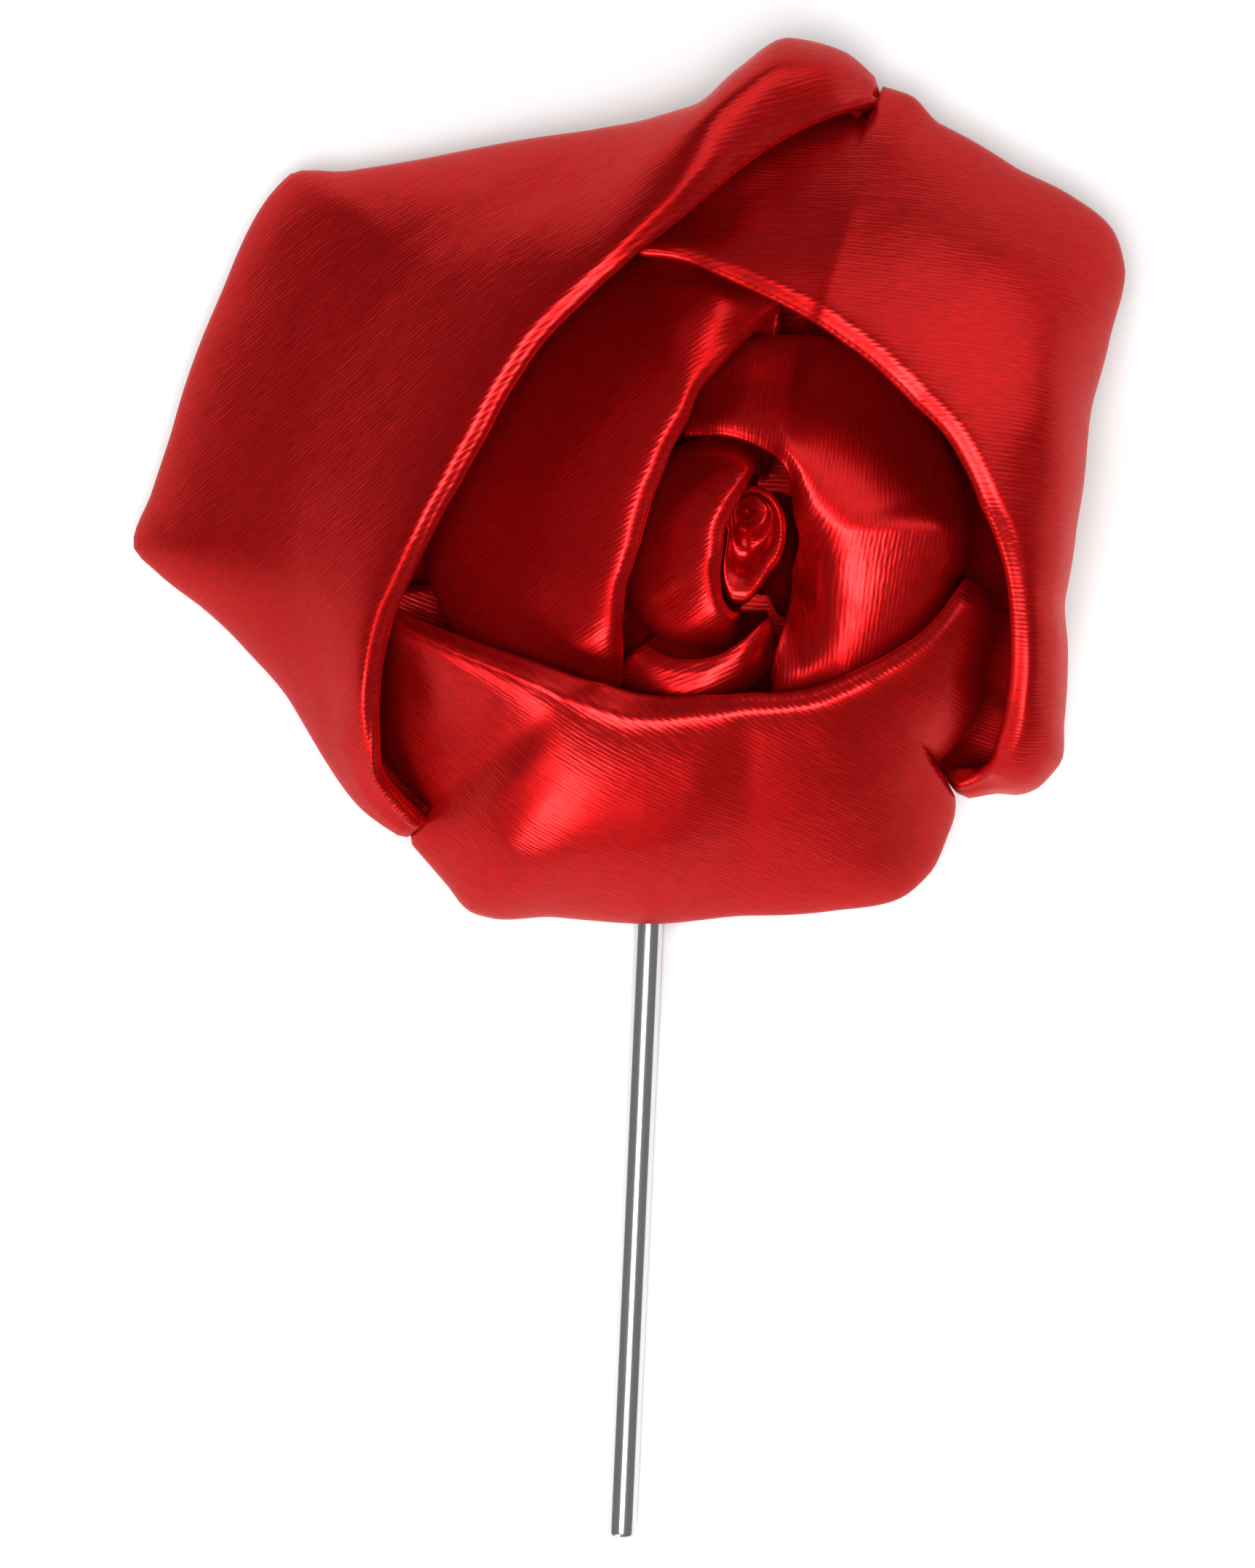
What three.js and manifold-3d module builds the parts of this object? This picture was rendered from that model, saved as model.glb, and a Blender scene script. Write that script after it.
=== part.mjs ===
// Flower lapel pin: a rose folded from red satin ribbon on a straight steel stick pin.
// Millimetres, +Z up. The pin lies on its back: the rose faces up, the stick points along -Y,
// and the origin is the middle of the pad's flat back face.

import * as THREE from "three";
import { mergeVertices } from "three/addons/utils/BufferGeometryUtils.js";
import Module from "manifold-3d";

// Sizes of the stick and its pad
const WIRE_DIAMETER = 1.2;
const STICK_LENGTH = 41.1;
const PAD_DIAMETER = 19;
const PAD_THICKNESS = 1.25;
const PAD_SIDES = 40;
const WIRE_SIDES = 12;
const WIRE_END_ROUND = 0.22;
const WIRE_SEAT = 3.2;

// Sizes of the rose
const PETAL_REACH = 25;
const ROSE_HEIGHT = 14.5;
const ROSE_OFFSET = 3.57;
const ROSE_TURN = 2.5;
const FOLD_WALL = 1.0;
const ROLL_WALL = 0.7;
const LAYER_GAP = 0.45;
const SEAT_GAP = 0.3;
const FOOT_RING = 6.8;
const BUD_FOOT = 0.9;

// Fineness of the meshes
const STEP_TURN = 6;
const OUTER_STEPS = 9;

const RED = 0xb01218;
const DEEP_RED = 0x960c12;
const STEEL = 0xc9ccd0;

const radians = (degrees) => (degrees * Math.PI) / 180;

// How far inward a layer lies from the outermost one. Layer 0 is outermost, layers 1 and up are
// each covered by the one before, and the walls get thinner from layer 2 on.
const FOLD_PITCH = FOLD_WALL + LAYER_GAP;
const MIXED_PITCH = (FOLD_WALL + ROLL_WALL) / 2 + LAYER_GAP;
const ROLL_PITCH = ROLL_WALL + LAYER_GAP;
const LAYER_DEPTHS = [
  0,
  FOLD_PITCH,
  FOLD_PITCH + MIXED_PITCH,
  FOLD_PITCH + MIXED_PITCH + ROLL_PITCH,
  FOLD_PITCH + MIXED_PITCH + 2 * ROLL_PITCH,
];
function layerDepth(layer) {
  const low = Math.min(Math.floor(layer), LAYER_DEPTHS.length - 2);
  return THREE.MathUtils.lerp(LAYER_DEPTHS[low], LAYER_DEPTHS[low + 1], layer - low);
}

// The brink, where the fold turns under, takes a little more room than a straight wall does.
const BRINK_MITRE = 1.35;
const FOOT_LEVEL = PAD_THICKNESS + SEAT_GAP;

// Each fold is a wall of ribbon swept round the rose's axis. A row gives one turn angle in
// degrees and, out from the axis as shares of PETAL_REACH and up as shares of ROSE_HEIGHT:
// the rim (end of the wall), the crest (top of the roll), the shoulder (middle of the face) and
// the brink (where the face turns under). The last column is the layer. Heights of rim, crest
// and shoulder are written as if nothing covered the fold; its layer's depth comes off them.
const COLUMNS = [
  "turn",
  "rimOut",
  "rimUp",
  "crestOut",
  "crestUp",
  "shoulderOut",
  "shoulderUp",
  "brinkOut",
  "brinkUp",
  "layer",
];

const OUTER_LEFT = [
  [76, 0.733, 0.5, 0.766, 0.47, 0.771, 0.42, 0.774, 0.35, 0],
  [80, 0.694, 0.62, 0.74, 0.64, 0.784, 0.59, 0.808, 0.38, 0],
  [86, 0.646, 0.71, 0.698, 0.74, 0.774, 0.7, 0.816, 0.44, 0],
  [92, 0.598, 0.79, 0.654, 0.83, 0.728, 0.79, 0.76, 0.53, 0],
  [98, 0.554, 0.87, 0.618, 0.91, 0.678, 0.85, 0.704, 0.59, 0],
  [104, 0.522, 0.92, 0.58, 0.95, 0.65, 0.83, 0.702, 0.55, 0],
  [111, 0.498, 0.945, 0.55, 0.97, 0.632, 0.8, 0.716, 0.49, 0],
  [118, 0.479, 0.96, 0.529, 0.98, 0.622, 0.79, 0.745, 0.43, 0],
  [129, 0.464, 0.965, 0.514, 0.985, 0.65, 0.76, 0.812, 0.35, 0],
  [137.5, 0.46, 0.968, 0.51, 0.99, 0.676, 0.735, 0.9, 0.295, 0],
  [141.5, 0.458, 0.968, 0.508, 0.99, 0.69, 0.72, 0.97, 0.26, 0],
  [145, 0.456, 0.965, 0.506, 0.987, 0.694, 0.71, 0.976, 0.25, 0],
  [156, 0.457, 0.96, 0.507, 0.982, 0.7, 0.69, 0.962, 0.24, 0],
  [168, 0.476, 0.945, 0.526, 0.967, 0.718, 0.67, 0.968, 0.235, 0],
  [175, 0.5, 0.935, 0.55, 0.957, 0.74, 0.645, 0.988, 0.21, 0],
  [180, 0.52, 0.925, 0.57, 0.947, 0.756, 0.63, 1.016, 0.195, 0],
  [183, 0.534, 0.912, 0.584, 0.935, 0.752, 0.635, 0.972, 0.205, 0],
  [187, 0.556, 0.892, 0.606, 0.915, 0.738, 0.65, 0.9, 0.235, 0],
  [191, 0.584, 0.862, 0.634, 0.885, 0.728, 0.66, 0.852, 0.27, 0],
  [199, 0.632, 0.8, 0.68, 0.82, 0.728, 0.65, 0.794, 0.33, 0],
  [207, 0.678, 0.69, 0.72, 0.7, 0.75, 0.58, 0.777, 0.35, 0],
  [213, 0.708, 0.59, 0.744, 0.58, 0.758, 0.5, 0.77, 0.35, 0],
  [219, 0.7, 0.51, 0.733, 0.475, 0.739, 0.43, 0.742, 0.36, 0],
];

const OUTER_RIGHT = [
  [-49, 0.5, 0.47, 0.53, 0.45, 0.534, 0.41, 0.537, 0.35, 0],
  [-46, 0.515, 0.52, 0.55, 0.51, 0.558, 0.46, 0.564, 0.35, 0],
  [-43, 0.52, 0.58, 0.566, 0.59, 0.584, 0.52, 0.595, 0.355, 0],
  [-40, 0.508, 0.63, 0.558, 0.65, 0.593, 0.565, 0.606, 0.36, 0],
  [-36, 0.494, 0.685, 0.544, 0.71, 0.59, 0.605, 0.608, 0.37, 0],
  [-30, 0.47, 0.755, 0.52, 0.78, 0.558, 0.67, 0.575, 0.39, 0],
  [-19, 0.432, 0.84, 0.482, 0.865, 0.515, 0.75, 0.53, 0.42, 0],
  [-10, 0.408, 0.885, 0.458, 0.907, 0.489, 0.8, 0.504, 0.44, 0],
  [1, 0.38, 0.93, 0.434, 0.952, 0.49, 0.82, 0.513, 0.45, 0],
  [10, 0.36, 0.95, 0.414, 0.972, 0.5, 0.825, 0.536, 0.44, 0],
  [20, 0.35, 0.955, 0.404, 0.977, 0.52, 0.825, 0.574, 0.41, 0],
  [30, 0.342, 0.955, 0.396, 0.977, 0.554, 0.8, 0.668, 0.38, 0],
  [37, 0.334, 0.95, 0.388, 0.972, 0.59, 0.76, 0.756, 0.35, 0],
  [42, 0.33, 0.945, 0.384, 0.967, 0.606, 0.745, 0.778, 0.34, 0],
  [48, 0.33, 0.945, 0.384, 0.967, 0.604, 0.745, 0.766, 0.345, 0],
  [56, 0.334, 0.94, 0.388, 0.962, 0.596, 0.74, 0.745, 0.36, 0],
  [66, 0.342, 0.93, 0.396, 0.952, 0.596, 0.73, 0.747, 0.37, 0],
  [71, 0.35, 0.925, 0.404, 0.947, 0.604, 0.715, 0.774, 0.36, 0],
  [74.4, 0.356, 0.92, 0.41, 0.942, 0.606, 0.71, 0.774, 0.355, 0],
  [75.3, 0.358, 1.015, 0.414, 1.037, 0.606, 0.8, 0.772, 0.41, 1],
  [80, 0.367, 1.005, 0.42, 1.027, 0.604, 0.785, 0.786, 0.395, 1],
  [86, 0.382, 0.99, 0.434, 1.012, 0.582, 0.8, 0.796, 0.43, 1],
  [92, 0.402, 0.97, 0.452, 0.992, 0.556, 0.83, 0.745, 0.52, 1],
  [98, 0.426, 0.95, 0.472, 0.967, 0.534, 0.85, 0.703, 0.58, 1],
  [104, 0.458, 0.92, 0.5, 0.935, 0.542, 0.84, 0.7, 0.54, 1],
  [111, 0.492, 0.89, 0.534, 0.895, 0.566, 0.82, 0.712, 0.49, 1],
];

const OUTER_BOTTOM = [
  [188, 0.62, 0.74, 0.664, 0.74, 0.7, 0.67, 0.83, 0.26, 1],
  [191, 0.58, 0.81, 0.624, 0.83, 0.684, 0.69, 0.81, 0.27, 1],
  [199, 0.488, 0.885, 0.546, 0.93, 0.63, 0.745, 0.774, 0.32, 1],
  [207, 0.418, 0.92, 0.48, 0.965, 0.596, 0.76, 0.765, 0.345, 1],
  [213, 0.382, 0.935, 0.447, 0.98, 0.58, 0.76, 0.76, 0.37, 1],
  [219.8, 0.352, 0.94, 0.422, 0.985, 0.578, 0.762, 0.746, 0.392, 1],
  [220.7, 0.348, 0.84, 0.418, 0.887, 0.58, 0.665, 0.742, 0.355, 0],
  [224, 0.334, 0.845, 0.406, 0.892, 0.6, 0.67, 0.743, 0.34, 0],
  [228, 0.322, 0.845, 0.394, 0.895, 0.625, 0.655, 0.747, 0.32, 0],
  [232, 0.312, 0.845, 0.384, 0.895, 0.64, 0.645, 0.757, 0.3, 0],
  [235, 0.304, 0.845, 0.374, 0.895, 0.63, 0.65, 0.745, 0.3, 0],
  [242, 0.286, 0.85, 0.35, 0.897, 0.575, 0.68, 0.689, 0.31, 0],
  [254, 0.26, 0.86, 0.316, 0.899, 0.52, 0.69, 0.645, 0.33, 0],
  [270, 0.246, 0.872, 0.298, 0.9, 0.471, 0.67, 0.607, 0.345, 0],
  [282, 0.25, 0.874, 0.3, 0.9, 0.473, 0.665, 0.613, 0.345, 0],
  [292, 0.256, 0.874, 0.306, 0.9, 0.481, 0.655, 0.627, 0.34, 0],
  [298, 0.258, 0.872, 0.308, 0.897, 0.475, 0.65, 0.611, 0.34, 0],
  [303, 0.261, 0.87, 0.311, 0.895, 0.456, 0.665, 0.577, 0.345, 0],
  [308.4, 0.265, 0.868, 0.315, 0.893, 0.432, 0.7, 0.53, 0.38, 0],
  [310, 0.267, 0.966, 0.316, 0.99, 0.42, 0.81, 0.53, 0.4, 1],
  [320, 0.282, 0.955, 0.328, 0.98, 0.408, 0.85, 0.53, 0.47, 1],
  [332, 0.306, 0.935, 0.348, 0.96, 0.392, 0.865, 0.49, 0.56, 1],
  [342, 0.324, 0.905, 0.362, 0.928, 0.392, 0.868, 0.476, 0.58, 1],
  [349, 0.334, 0.872, 0.376, 0.888, 0.404, 0.845, 0.474, 0.56, 1],
];

const MIDDLE_LEFT = [
  [83, 0.372, 0.93, 0.402, 0.95, 0.43, 0.89, 0.46, 0.6, 2],
  [92, 0.324, 0.985, 0.356, 1.0, 0.396, 0.985, 0.49, 0.58, 2],
  [101, 0.284, 1.035, 0.32, 1.052, 0.388, 1.03, 0.5, 0.56, 2],
  [110, 0.256, 1.05, 0.292, 1.072, 0.384, 1.01, 0.5, 0.55, 2],
  [120, 0.218, 1.058, 0.256, 1.082, 0.38, 0.95, 0.5, 0.54, 2],
  [130, 0.2, 1.062, 0.238, 1.086, 0.376, 0.94, 0.51, 0.53, 2],
  [150, 0.178, 1.066, 0.216, 1.09, 0.372, 0.93, 0.52, 0.52, 2],
  [165, 0.176, 1.066, 0.214, 1.09, 0.376, 0.93, 0.53, 0.52, 2],
  [180, 0.182, 1.066, 0.22, 1.09, 0.386, 0.92, 0.54, 0.52, 2],
  [192, 0.2, 1.062, 0.238, 1.086, 0.39, 0.92, 0.52, 0.52, 2],
  [200, 0.22, 1.052, 0.258, 1.076, 0.384, 0.92, 0.5, 0.53, 2],
  [210, 0.244, 1.03, 0.28, 1.052, 0.37, 0.93, 0.46, 0.54, 2],
  [220, 0.276, 0.97, 0.308, 0.99, 0.36, 0.91, 0.42, 0.56, 2],
  [228, 0.316, 0.91, 0.344, 0.915, 0.366, 0.87, 0.4, 0.57, 2],
];

const MIDDLE_RIGHT = [
  [-84, 0.224, 0.93, 0.26, 0.95, 0.288, 0.89, 0.32, 0.64, 2],
  [-79, 0.178, 0.955, 0.24, 0.98, 0.284, 0.91, 0.32, 0.64, 2],
  [-68, 0.134, 0.91, 0.236, 1.0, 0.276, 0.94, 0.316, 0.64, 2],
  [-54, 0.1, 0.91, 0.212, 1.02, 0.27, 0.998, 0.322, 0.65, 2],
  [-40, 0.078, 0.93, 0.176, 1.035, 0.276, 1.002, 0.328, 0.65, 2],
  [-29, 0.072, 0.945, 0.158, 1.045, 0.284, 1.005, 0.33, 0.66, 2],
  [-16, 0.07, 0.955, 0.146, 1.05, 0.296, 1.002, 0.33, 0.68, 2],
  [-10, 0.07, 0.96, 0.142, 1.052, 0.302, 1.0, 0.334, 0.7, 2],
  [-5, 0.07, 0.965, 0.138, 1.054, 0.314, 1.0, 0.342, 0.72, 2],
  [3, 0.07, 0.97, 0.132, 1.056, 0.318, 1.005, 0.346, 0.73, 2],
  [15, 0.07, 0.98, 0.126, 1.06, 0.284, 0.965, 0.346, 0.66, 2],
  [31, 0.072, 0.99, 0.12, 1.06, 0.26, 0.945, 0.35, 0.59, 2],
  [48, 0.088, 1.0, 0.13, 1.06, 0.246, 0.945, 0.35, 0.58, 2],
  [61, 0.112, 1.02, 0.15, 1.06, 0.246, 0.93, 0.352, 0.56, 2],
  [71, 0.128, 1.03, 0.164, 1.055, 0.25, 0.91, 0.35, 0.58, 2],
  [79, 0.139, 1.095, 0.173, 1.12, 0.252, 1.007, 0.34, 0.62, 3],
  [91, 0.152, 1.08, 0.186, 1.1, 0.254, 1.01, 0.33, 0.64, 3],
  [107, 0.174, 1.06, 0.206, 1.075, 0.246, 0.99, 0.31, 0.63, 3],
  [118, 0.19, 1.02, 0.218, 1.03, 0.246, 0.97, 0.3, 0.62, 3],
  [124, 0.202, 1.0, 0.228, 1.005, 0.252, 0.96, 0.3, 0.64, 3],
];

const INNER_LEFT = [
  [86, 0.116, 1.08, 0.136, 1.08, 0.152, 1.03, 0.178, 0.64, 4],
  [93, 0.1, 1.165, 0.128, 1.175, 0.152, 1.08, 0.184, 0.65, 4],
  [100, 0.084, 1.205, 0.116, 1.22, 0.154, 1.12, 0.192, 0.66, 4],
  [110, 0.07, 1.22, 0.104, 1.245, 0.152, 1.14, 0.192, 0.64, 4],
  [120, 0.062, 1.225, 0.097, 1.25, 0.15, 1.15, 0.19, 0.64, 4],
  [129, 0.057, 1.228, 0.093, 1.252, 0.15, 1.15, 0.196, 0.65, 4],
  [138, 0.053, 1.156, 0.089, 1.18, 0.15, 1.08, 0.206, 0.65, 3],
  [150, 0.051, 1.157, 0.087, 1.18, 0.151, 1.085, 0.214, 0.66, 3],
  [180, 0.05, 1.157, 0.086, 1.18, 0.154, 1.09, 0.22, 0.66, 3],
  [200, 0.055, 1.155, 0.092, 1.178, 0.16, 1.085, 0.226, 0.66, 3],
  [208, 0.06, 1.15, 0.098, 1.173, 0.165, 1.08, 0.227, 0.66, 3],
  [216, 0.068, 1.22, 0.107, 1.245, 0.17, 1.15, 0.224, 0.67, 4],
  [232, 0.09, 1.205, 0.124, 1.23, 0.174, 1.15, 0.21, 0.68, 4],
  [243, 0.11, 1.19, 0.14, 1.21, 0.168, 1.145, 0.192, 0.69, 4],
  [253, 0.12, 1.165, 0.146, 1.18, 0.16, 1.13, 0.178, 0.7, 4],
  [259, 0.118, 1.135, 0.14, 1.14, 0.15, 1.1, 0.166, 0.7, 4],
];

const INNER_BOTTOM = [
  [222, 0.244, 1.0, 0.277, 1.028, 0.295, 0.985, 0.319, 0.63, 3],
  [233, 0.234, 1.04, 0.27, 1.06, 0.293, 1.035, 0.318, 0.64, 3],
  [243, 0.216, 1.06, 0.256, 1.075, 0.286, 1.06, 0.314, 0.64, 3],
  [253, 0.192, 1.068, 0.232, 1.085, 0.266, 1.065, 0.296, 0.65, 3],
  [262, 0.164, 1.07, 0.204, 1.085, 0.238, 1.06, 0.268, 0.66, 3],
  [272, 0.138, 1.05, 0.172, 1.065, 0.2, 1.035, 0.226, 0.68, 3],
  [282, 0.122, 0.99, 0.148, 1.02, 0.164, 0.98, 0.188, 0.7, 3],
];

// The bud's outline round its little eye: turn, reach out from the eye, and height of the top.
// Lower down its body spreads out from the rose's axis, under the rims of the folds round it.
const BUD_EYE = { out: 0.0493, turn: 105, radius: 0.012, floor: 0.7 };
const BUD_BODY_LEVEL = 0.5;
const BUD_COLUMNS = ["turn", "out", "up", "body"];
const BUD = [
  [-131, 0.054, 0.82, 0.042],
  [-121, 0.074, 0.825, 0.043],
  [-113, 0.106, 0.83, 0.044],
  [-106, 0.134, 0.83, 0.044],
  [-99, 0.15, 0.83, 0.054],
  [-92, 0.15, 0.83, 0.08],
  [-84, 0.134, 0.84, 0.1],
  [-75, 0.115, 0.85, 0.103],
  [-70, 0.107, 0.855, 0.15],
  [-62, 0.1, 0.86, 0.156],
  [-46, 0.084, 0.87, 0.146],
  [-22, 0.066, 0.88, 0.13],
  [8, 0.053, 0.885, 0.124],
  [40, 0.045, 0.88, 0.116],
  [62, 0.042, 0.87, 0.1],
  [78, 0.04, 0.86, 0.06],
  [90, 0.038, 0.85, 0.04],
  [120, 0.034, 0.83, 0.036],
  [170, 0.034, 0.82, 0.036],
  [203, 0.042, 0.82, 0.04],
];

// Smooth value between rows, without overshoot: a monotone cubic through one column.
function smoothColumn(rows, column, turn) {
  const last = rows.length - 1;
  let i = 0;
  while (i < last - 1 && turn > rows[i + 1][0]) {
    i += 1;
  }
  const slope = (k) => (rows[k + 1][column] - rows[k][column]) / (rows[k + 1][0] - rows[k][0]);
  const tangent = (k) => {
    if (k === 0) {
      return slope(0);
    }
    if (k === last) {
      return slope(last - 1);
    }
    const before = slope(k - 1);
    const after = slope(k);
    return before * after <= 0 ? 0 : (2 * before * after) / (before + after);
  };
  const width = rows[i + 1][0] - rows[i][0];
  const t = (turn - rows[i][0]) / width;
  const a = rows[i][column];
  const b = rows[i + 1][column];
  const ta = tangent(i) * width;
  const tb = tangent(i + 1) * width;
  const t2 = t * t;
  const t3 = t2 * t;
  return (2 * t3 - 3 * t2 + 1) * a + (t3 - 2 * t2 + t) * ta + (3 * t2 - 2 * t3) * b + (t3 - t2) * tb;
}

function rowAt(rows, columns, turn) {
  const row = {};
  columns.forEach((name, k) => {
    row[name] = k === 0 ? turn : smoothColumn(rows, k, turn);
  });
  return row;
}

// Every row's own turn, with even steps of at most STEP_TURN between them.
function stations(rows) {
  const turns = [];
  for (let i = 0; i < rows.length - 1; i += 1) {
    const steps = Math.ceil((rows[i + 1][0] - rows[i][0]) / STEP_TURN - 1e-9);
    for (let k = 0; k < steps; k += 1) {
      turns.push(rows[i][0] + ((rows[i + 1][0] - rows[i][0]) * k) / steps);
    }
  }
  turns.push(rows[rows.length - 1][0]);
  return turns;
}

const flat = (out, up) => new THREE.Vector3(out, up, 0);

function smoothLine(points, steps) {
  return new THREE.CatmullRomCurve3(points, false, "centripetal").getPoints(steps);
}

// The points that shape the wall at one row, on its outer side from crest to foot, after the
// middle of its rim.
function wallPoints(row, wall) {
  const depth = layerDepth(row.layer);
  const cover = Math.min(row.layer, 1);
  const up = (share) => share * ROSE_HEIGHT - depth;
  const rim = flat(row.rimOut * PETAL_REACH + wall / 2, up(row.rimUp));
  const crest = flat(row.crestOut * PETAL_REACH, up(row.crestUp));
  const shoulder = flat(row.shoulderOut * PETAL_REACH, up(row.shoulderUp));
  const brink = flat(row.brinkOut * PETAL_REACH, row.brinkUp * ROSE_HEIGHT);
  const foot = flat(FOOT_RING + wall / 2, FOOT_LEVEL);
  const under = brink.clone().lerp(foot, 0.42);
  const down = foot.clone().sub(brink).normalize();
  const inward = flat(down.y, -down.x).multiplyScalar(cover * (FOLD_PITCH + 0.5 * LAYER_GAP));
  if (row.layer <= 1) {
    const brinkShift = cover * (BRINK_MITRE * FOLD_WALL + LAYER_GAP);
    brink.add(flat(-0.9 * brinkShift, 0.65 * cover * FOLD_PITCH));
    under.add(inward);
    foot.add(inward).add(flat(cover * LAYER_GAP, 0));
  } else {
    foot.set(FOOT_RING - depth + wall / 2, FOOT_LEVEL, 0);
    const steep = THREE.MathUtils.lerp(brink.x, foot.x, 0.87);
    under.set(steep, THREE.MathUtils.lerp(brink.y, foot.y, 0.42), 0);
  }
  return [rim, crest, shoulder, brink, under, foot];
}

// The same points for every row of a table, as columns beside the row's turn.
function wallTable(rows, wall) {
  return rows.map((values) => {
    const row = Object.fromEntries(COLUMNS.map((name, k) => [name, values[k]]));
    return [row.turn, ...wallPoints(row, wall).flatMap((point) => [point.x, point.y])];
  });
}

// The two sides of the wall at one turn: outer points from rim to foot, inner points beside them.
function wallSection(table, turn, wall) {
  const value = (column) => smoothColumn(table, column, turn);
  const [end, ...body] = [1, 3, 5, 7, 9, 11].map((column) => flat(value(column), value(column + 1)));
  const along = body[0].clone().sub(end).normalize();
  const side = flat(-along.y, along.x);
  const crestCentre = body[0].clone().addScaledVector(side, -wall / 2);
  along.copy(crestCentre).sub(end).normalize();
  side.set(-along.y, along.x, 0);
  const lip = wall * 0.5 * Math.SQRT1_2;
  const outer = [end.clone().addScaledVector(side, wall / 2), ...body];
  const inner = outer.map((point, k) => {
    if (k === 0) {
      return end.clone().addScaledVector(side, -lip).addScaledVector(along, -lip);
    }
    const before = point.clone().sub(outer[k - 1]).normalize();
    if (k === outer.length - 1) {
      return point.clone().add(flat(before.y, -before.x).multiplyScalar(wall));
    }
    const after = outer[k + 1].clone().sub(point).normalize();
    const way = before.clone().add(after).normalize();
    const mitre = Math.min(1 / Math.max(way.dot(after), 0.1), BRINK_MITRE);
    return point.clone().add(flat(way.y, -way.x).multiplyScalar(wall * mitre));
  });
  const tip = end.clone().addScaledVector(along, -wall / 2);
  return { outer: smoothLine(outer, OUTER_STEPS), inner: smoothLine(inner, OUTER_STEPS), tip };
}

// A point of a section, placed at its turn round the rose's axis.
function placed(point, turn) {
  const angle = radians(turn + ROSE_TURN);
  return [ROSE_OFFSET + point.x * Math.cos(angle), point.x * Math.sin(angle), point.y];
}

function solidGeometry(points, faces) {
  const geometry = new THREE.BufferGeometry();
  geometry.setAttribute("position", new THREE.Float32BufferAttribute(points.flat(), 3));
  geometry.setIndex(faces.flat());
  geometry.computeVertexNormals();
  return geometry;
}

// One fold: the section's loop joined from turn to turn and closed at both ends.
function foldGeometry(rows, wall) {
  const points = [];
  const faces = [];
  const table = wallTable(rows, wall);
  const turns = stations(rows);
  const side = OUTER_STEPS + 1;
  const ring = 2 * side + 1;
  for (const turn of turns) {
    const section = wallSection(table, turn, wall);
    const loop = [section.tip, ...section.outer, ...section.inner.reverse()];
    loop.forEach((point) => points.push(placed(point, turn)));
  }
  for (let s = 0; s < turns.length - 1; s += 1) {
    for (let k = 0; k < ring; k += 1) {
      const a = s * ring + k;
      const b = s * ring + ((k + 1) % ring);
      faces.push([a, b, a + ring], [b, b + ring, a + ring]);
    }
  }
  const last = (turns.length - 1) * ring;
  faces.push([0, ring - 1, 1], [last, last + 1, last + ring - 1]);
  for (let k = 1; k < side; k += 1) {
    const opposite = ring - k;
    faces.push([k, opposite, k + 1], [k + 1, opposite, opposite - 1]);
    faces.push([last + k, last + k + 1, last + opposite]);
    faces.push([last + k + 1, last + opposite - 1, last + opposite]);
  }
  return solidGeometry(points, faces);
}

// The bud: a closed roll round its eye, narrowing down to its foot.
function budGeometry() {
  const eyeAngle = radians(BUD_EYE.turn);
  const eye = flat(Math.cos(eyeAngle), Math.sin(eyeAngle)).multiplyScalar(BUD_EYE.out * PETAL_REACH);
  const points = [];
  const faces = [];
  const rows = [...BUD, [BUD[0][0] + 360, ...BUD[0].slice(1)]];
  const turns = stations(rows).slice(0, -1);
  const levels = 9;
  const angle = radians(ROSE_TURN);
  const put = (x, y, z) => {
    points.push([
      ROSE_OFFSET + x * Math.cos(angle) - y * Math.sin(angle),
      x * Math.sin(angle) + y * Math.cos(angle),
      z,
    ]);
  };
  put(eye.x, eye.y, BUD_EYE.floor * ROSE_HEIGHT);
  for (const turn of turns) {
    const row = rowAt(rows, BUD_COLUMNS, turn);
    const a = radians(turn);
    const way = [Math.cos(a), Math.sin(a)];
    const out = row.out * PETAL_REACH;
    const hole = BUD_EYE.radius * PETAL_REACH;
    const top = row.up * ROSE_HEIGHT;
    const ring = [
      [hole * 0.8, top * 0.9],
      [hole, top - 0.04 * ROSE_HEIGHT],
      [hole + 0.3 * (out - hole), top],
      [hole + 0.75 * (out - hole), top - 0.012 * ROSE_HEIGHT],
      [out, top - 0.06 * ROSE_HEIGHT],
      [out * 0.97, top * 0.82],
    ];
    for (const [reach, up] of ring) {
      put(eye.x + way[0] * reach, eye.y + way[1] * reach, up);
    }
    const body = row.body * PETAL_REACH;
    put(way[0] * body, way[1] * body, BUD_BODY_LEVEL * ROSE_HEIGHT);
    const neck = 0.6 * body + 0.4 * BUD_FOOT;
    put(way[0] * neck, way[1] * neck, 0.72 * BUD_BODY_LEVEL * ROSE_HEIGHT);
    put(way[0] * BUD_FOOT, way[1] * BUD_FOOT, FOOT_LEVEL);
  }
  put(0, 0, FOOT_LEVEL);
  const bottom = points.length - 1;
  const count = turns.length;
  for (let s = 0; s < count; s += 1) {
    const here = 1 + s * levels;
    const next = 1 + ((s + 1) % count) * levels;
    faces.push([0, here, next]);
    for (let k = 0; k < levels - 1; k += 1) {
      faces.push([here + k, here + k + 1, next + k]);
      faces.push([here + k + 1, next + k + 1, next + k]);
    }
    faces.push([bottom, next + levels - 1, here + levels - 1]);
  }
  return solidGeometry(points, faces);
}

// The stick: a straight wire with a blunt, slightly rounded end, lying on one of its flats, and
// soldered into the edge of the round pad.
const wasm = await Module();
wasm.setup();

function toSolid(geometry) {
  geometry.deleteAttribute("normal");
  geometry.deleteAttribute("uv");
  const merged = mergeVertices(geometry, 1e-4);
  return new wasm.Manifold(
    new wasm.Mesh({
      numProp: 3,
      vertProperties: new Float32Array(merged.attributes.position.array),
      triVerts: new Uint32Array(merged.index.array),
    }),
  );
}

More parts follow.
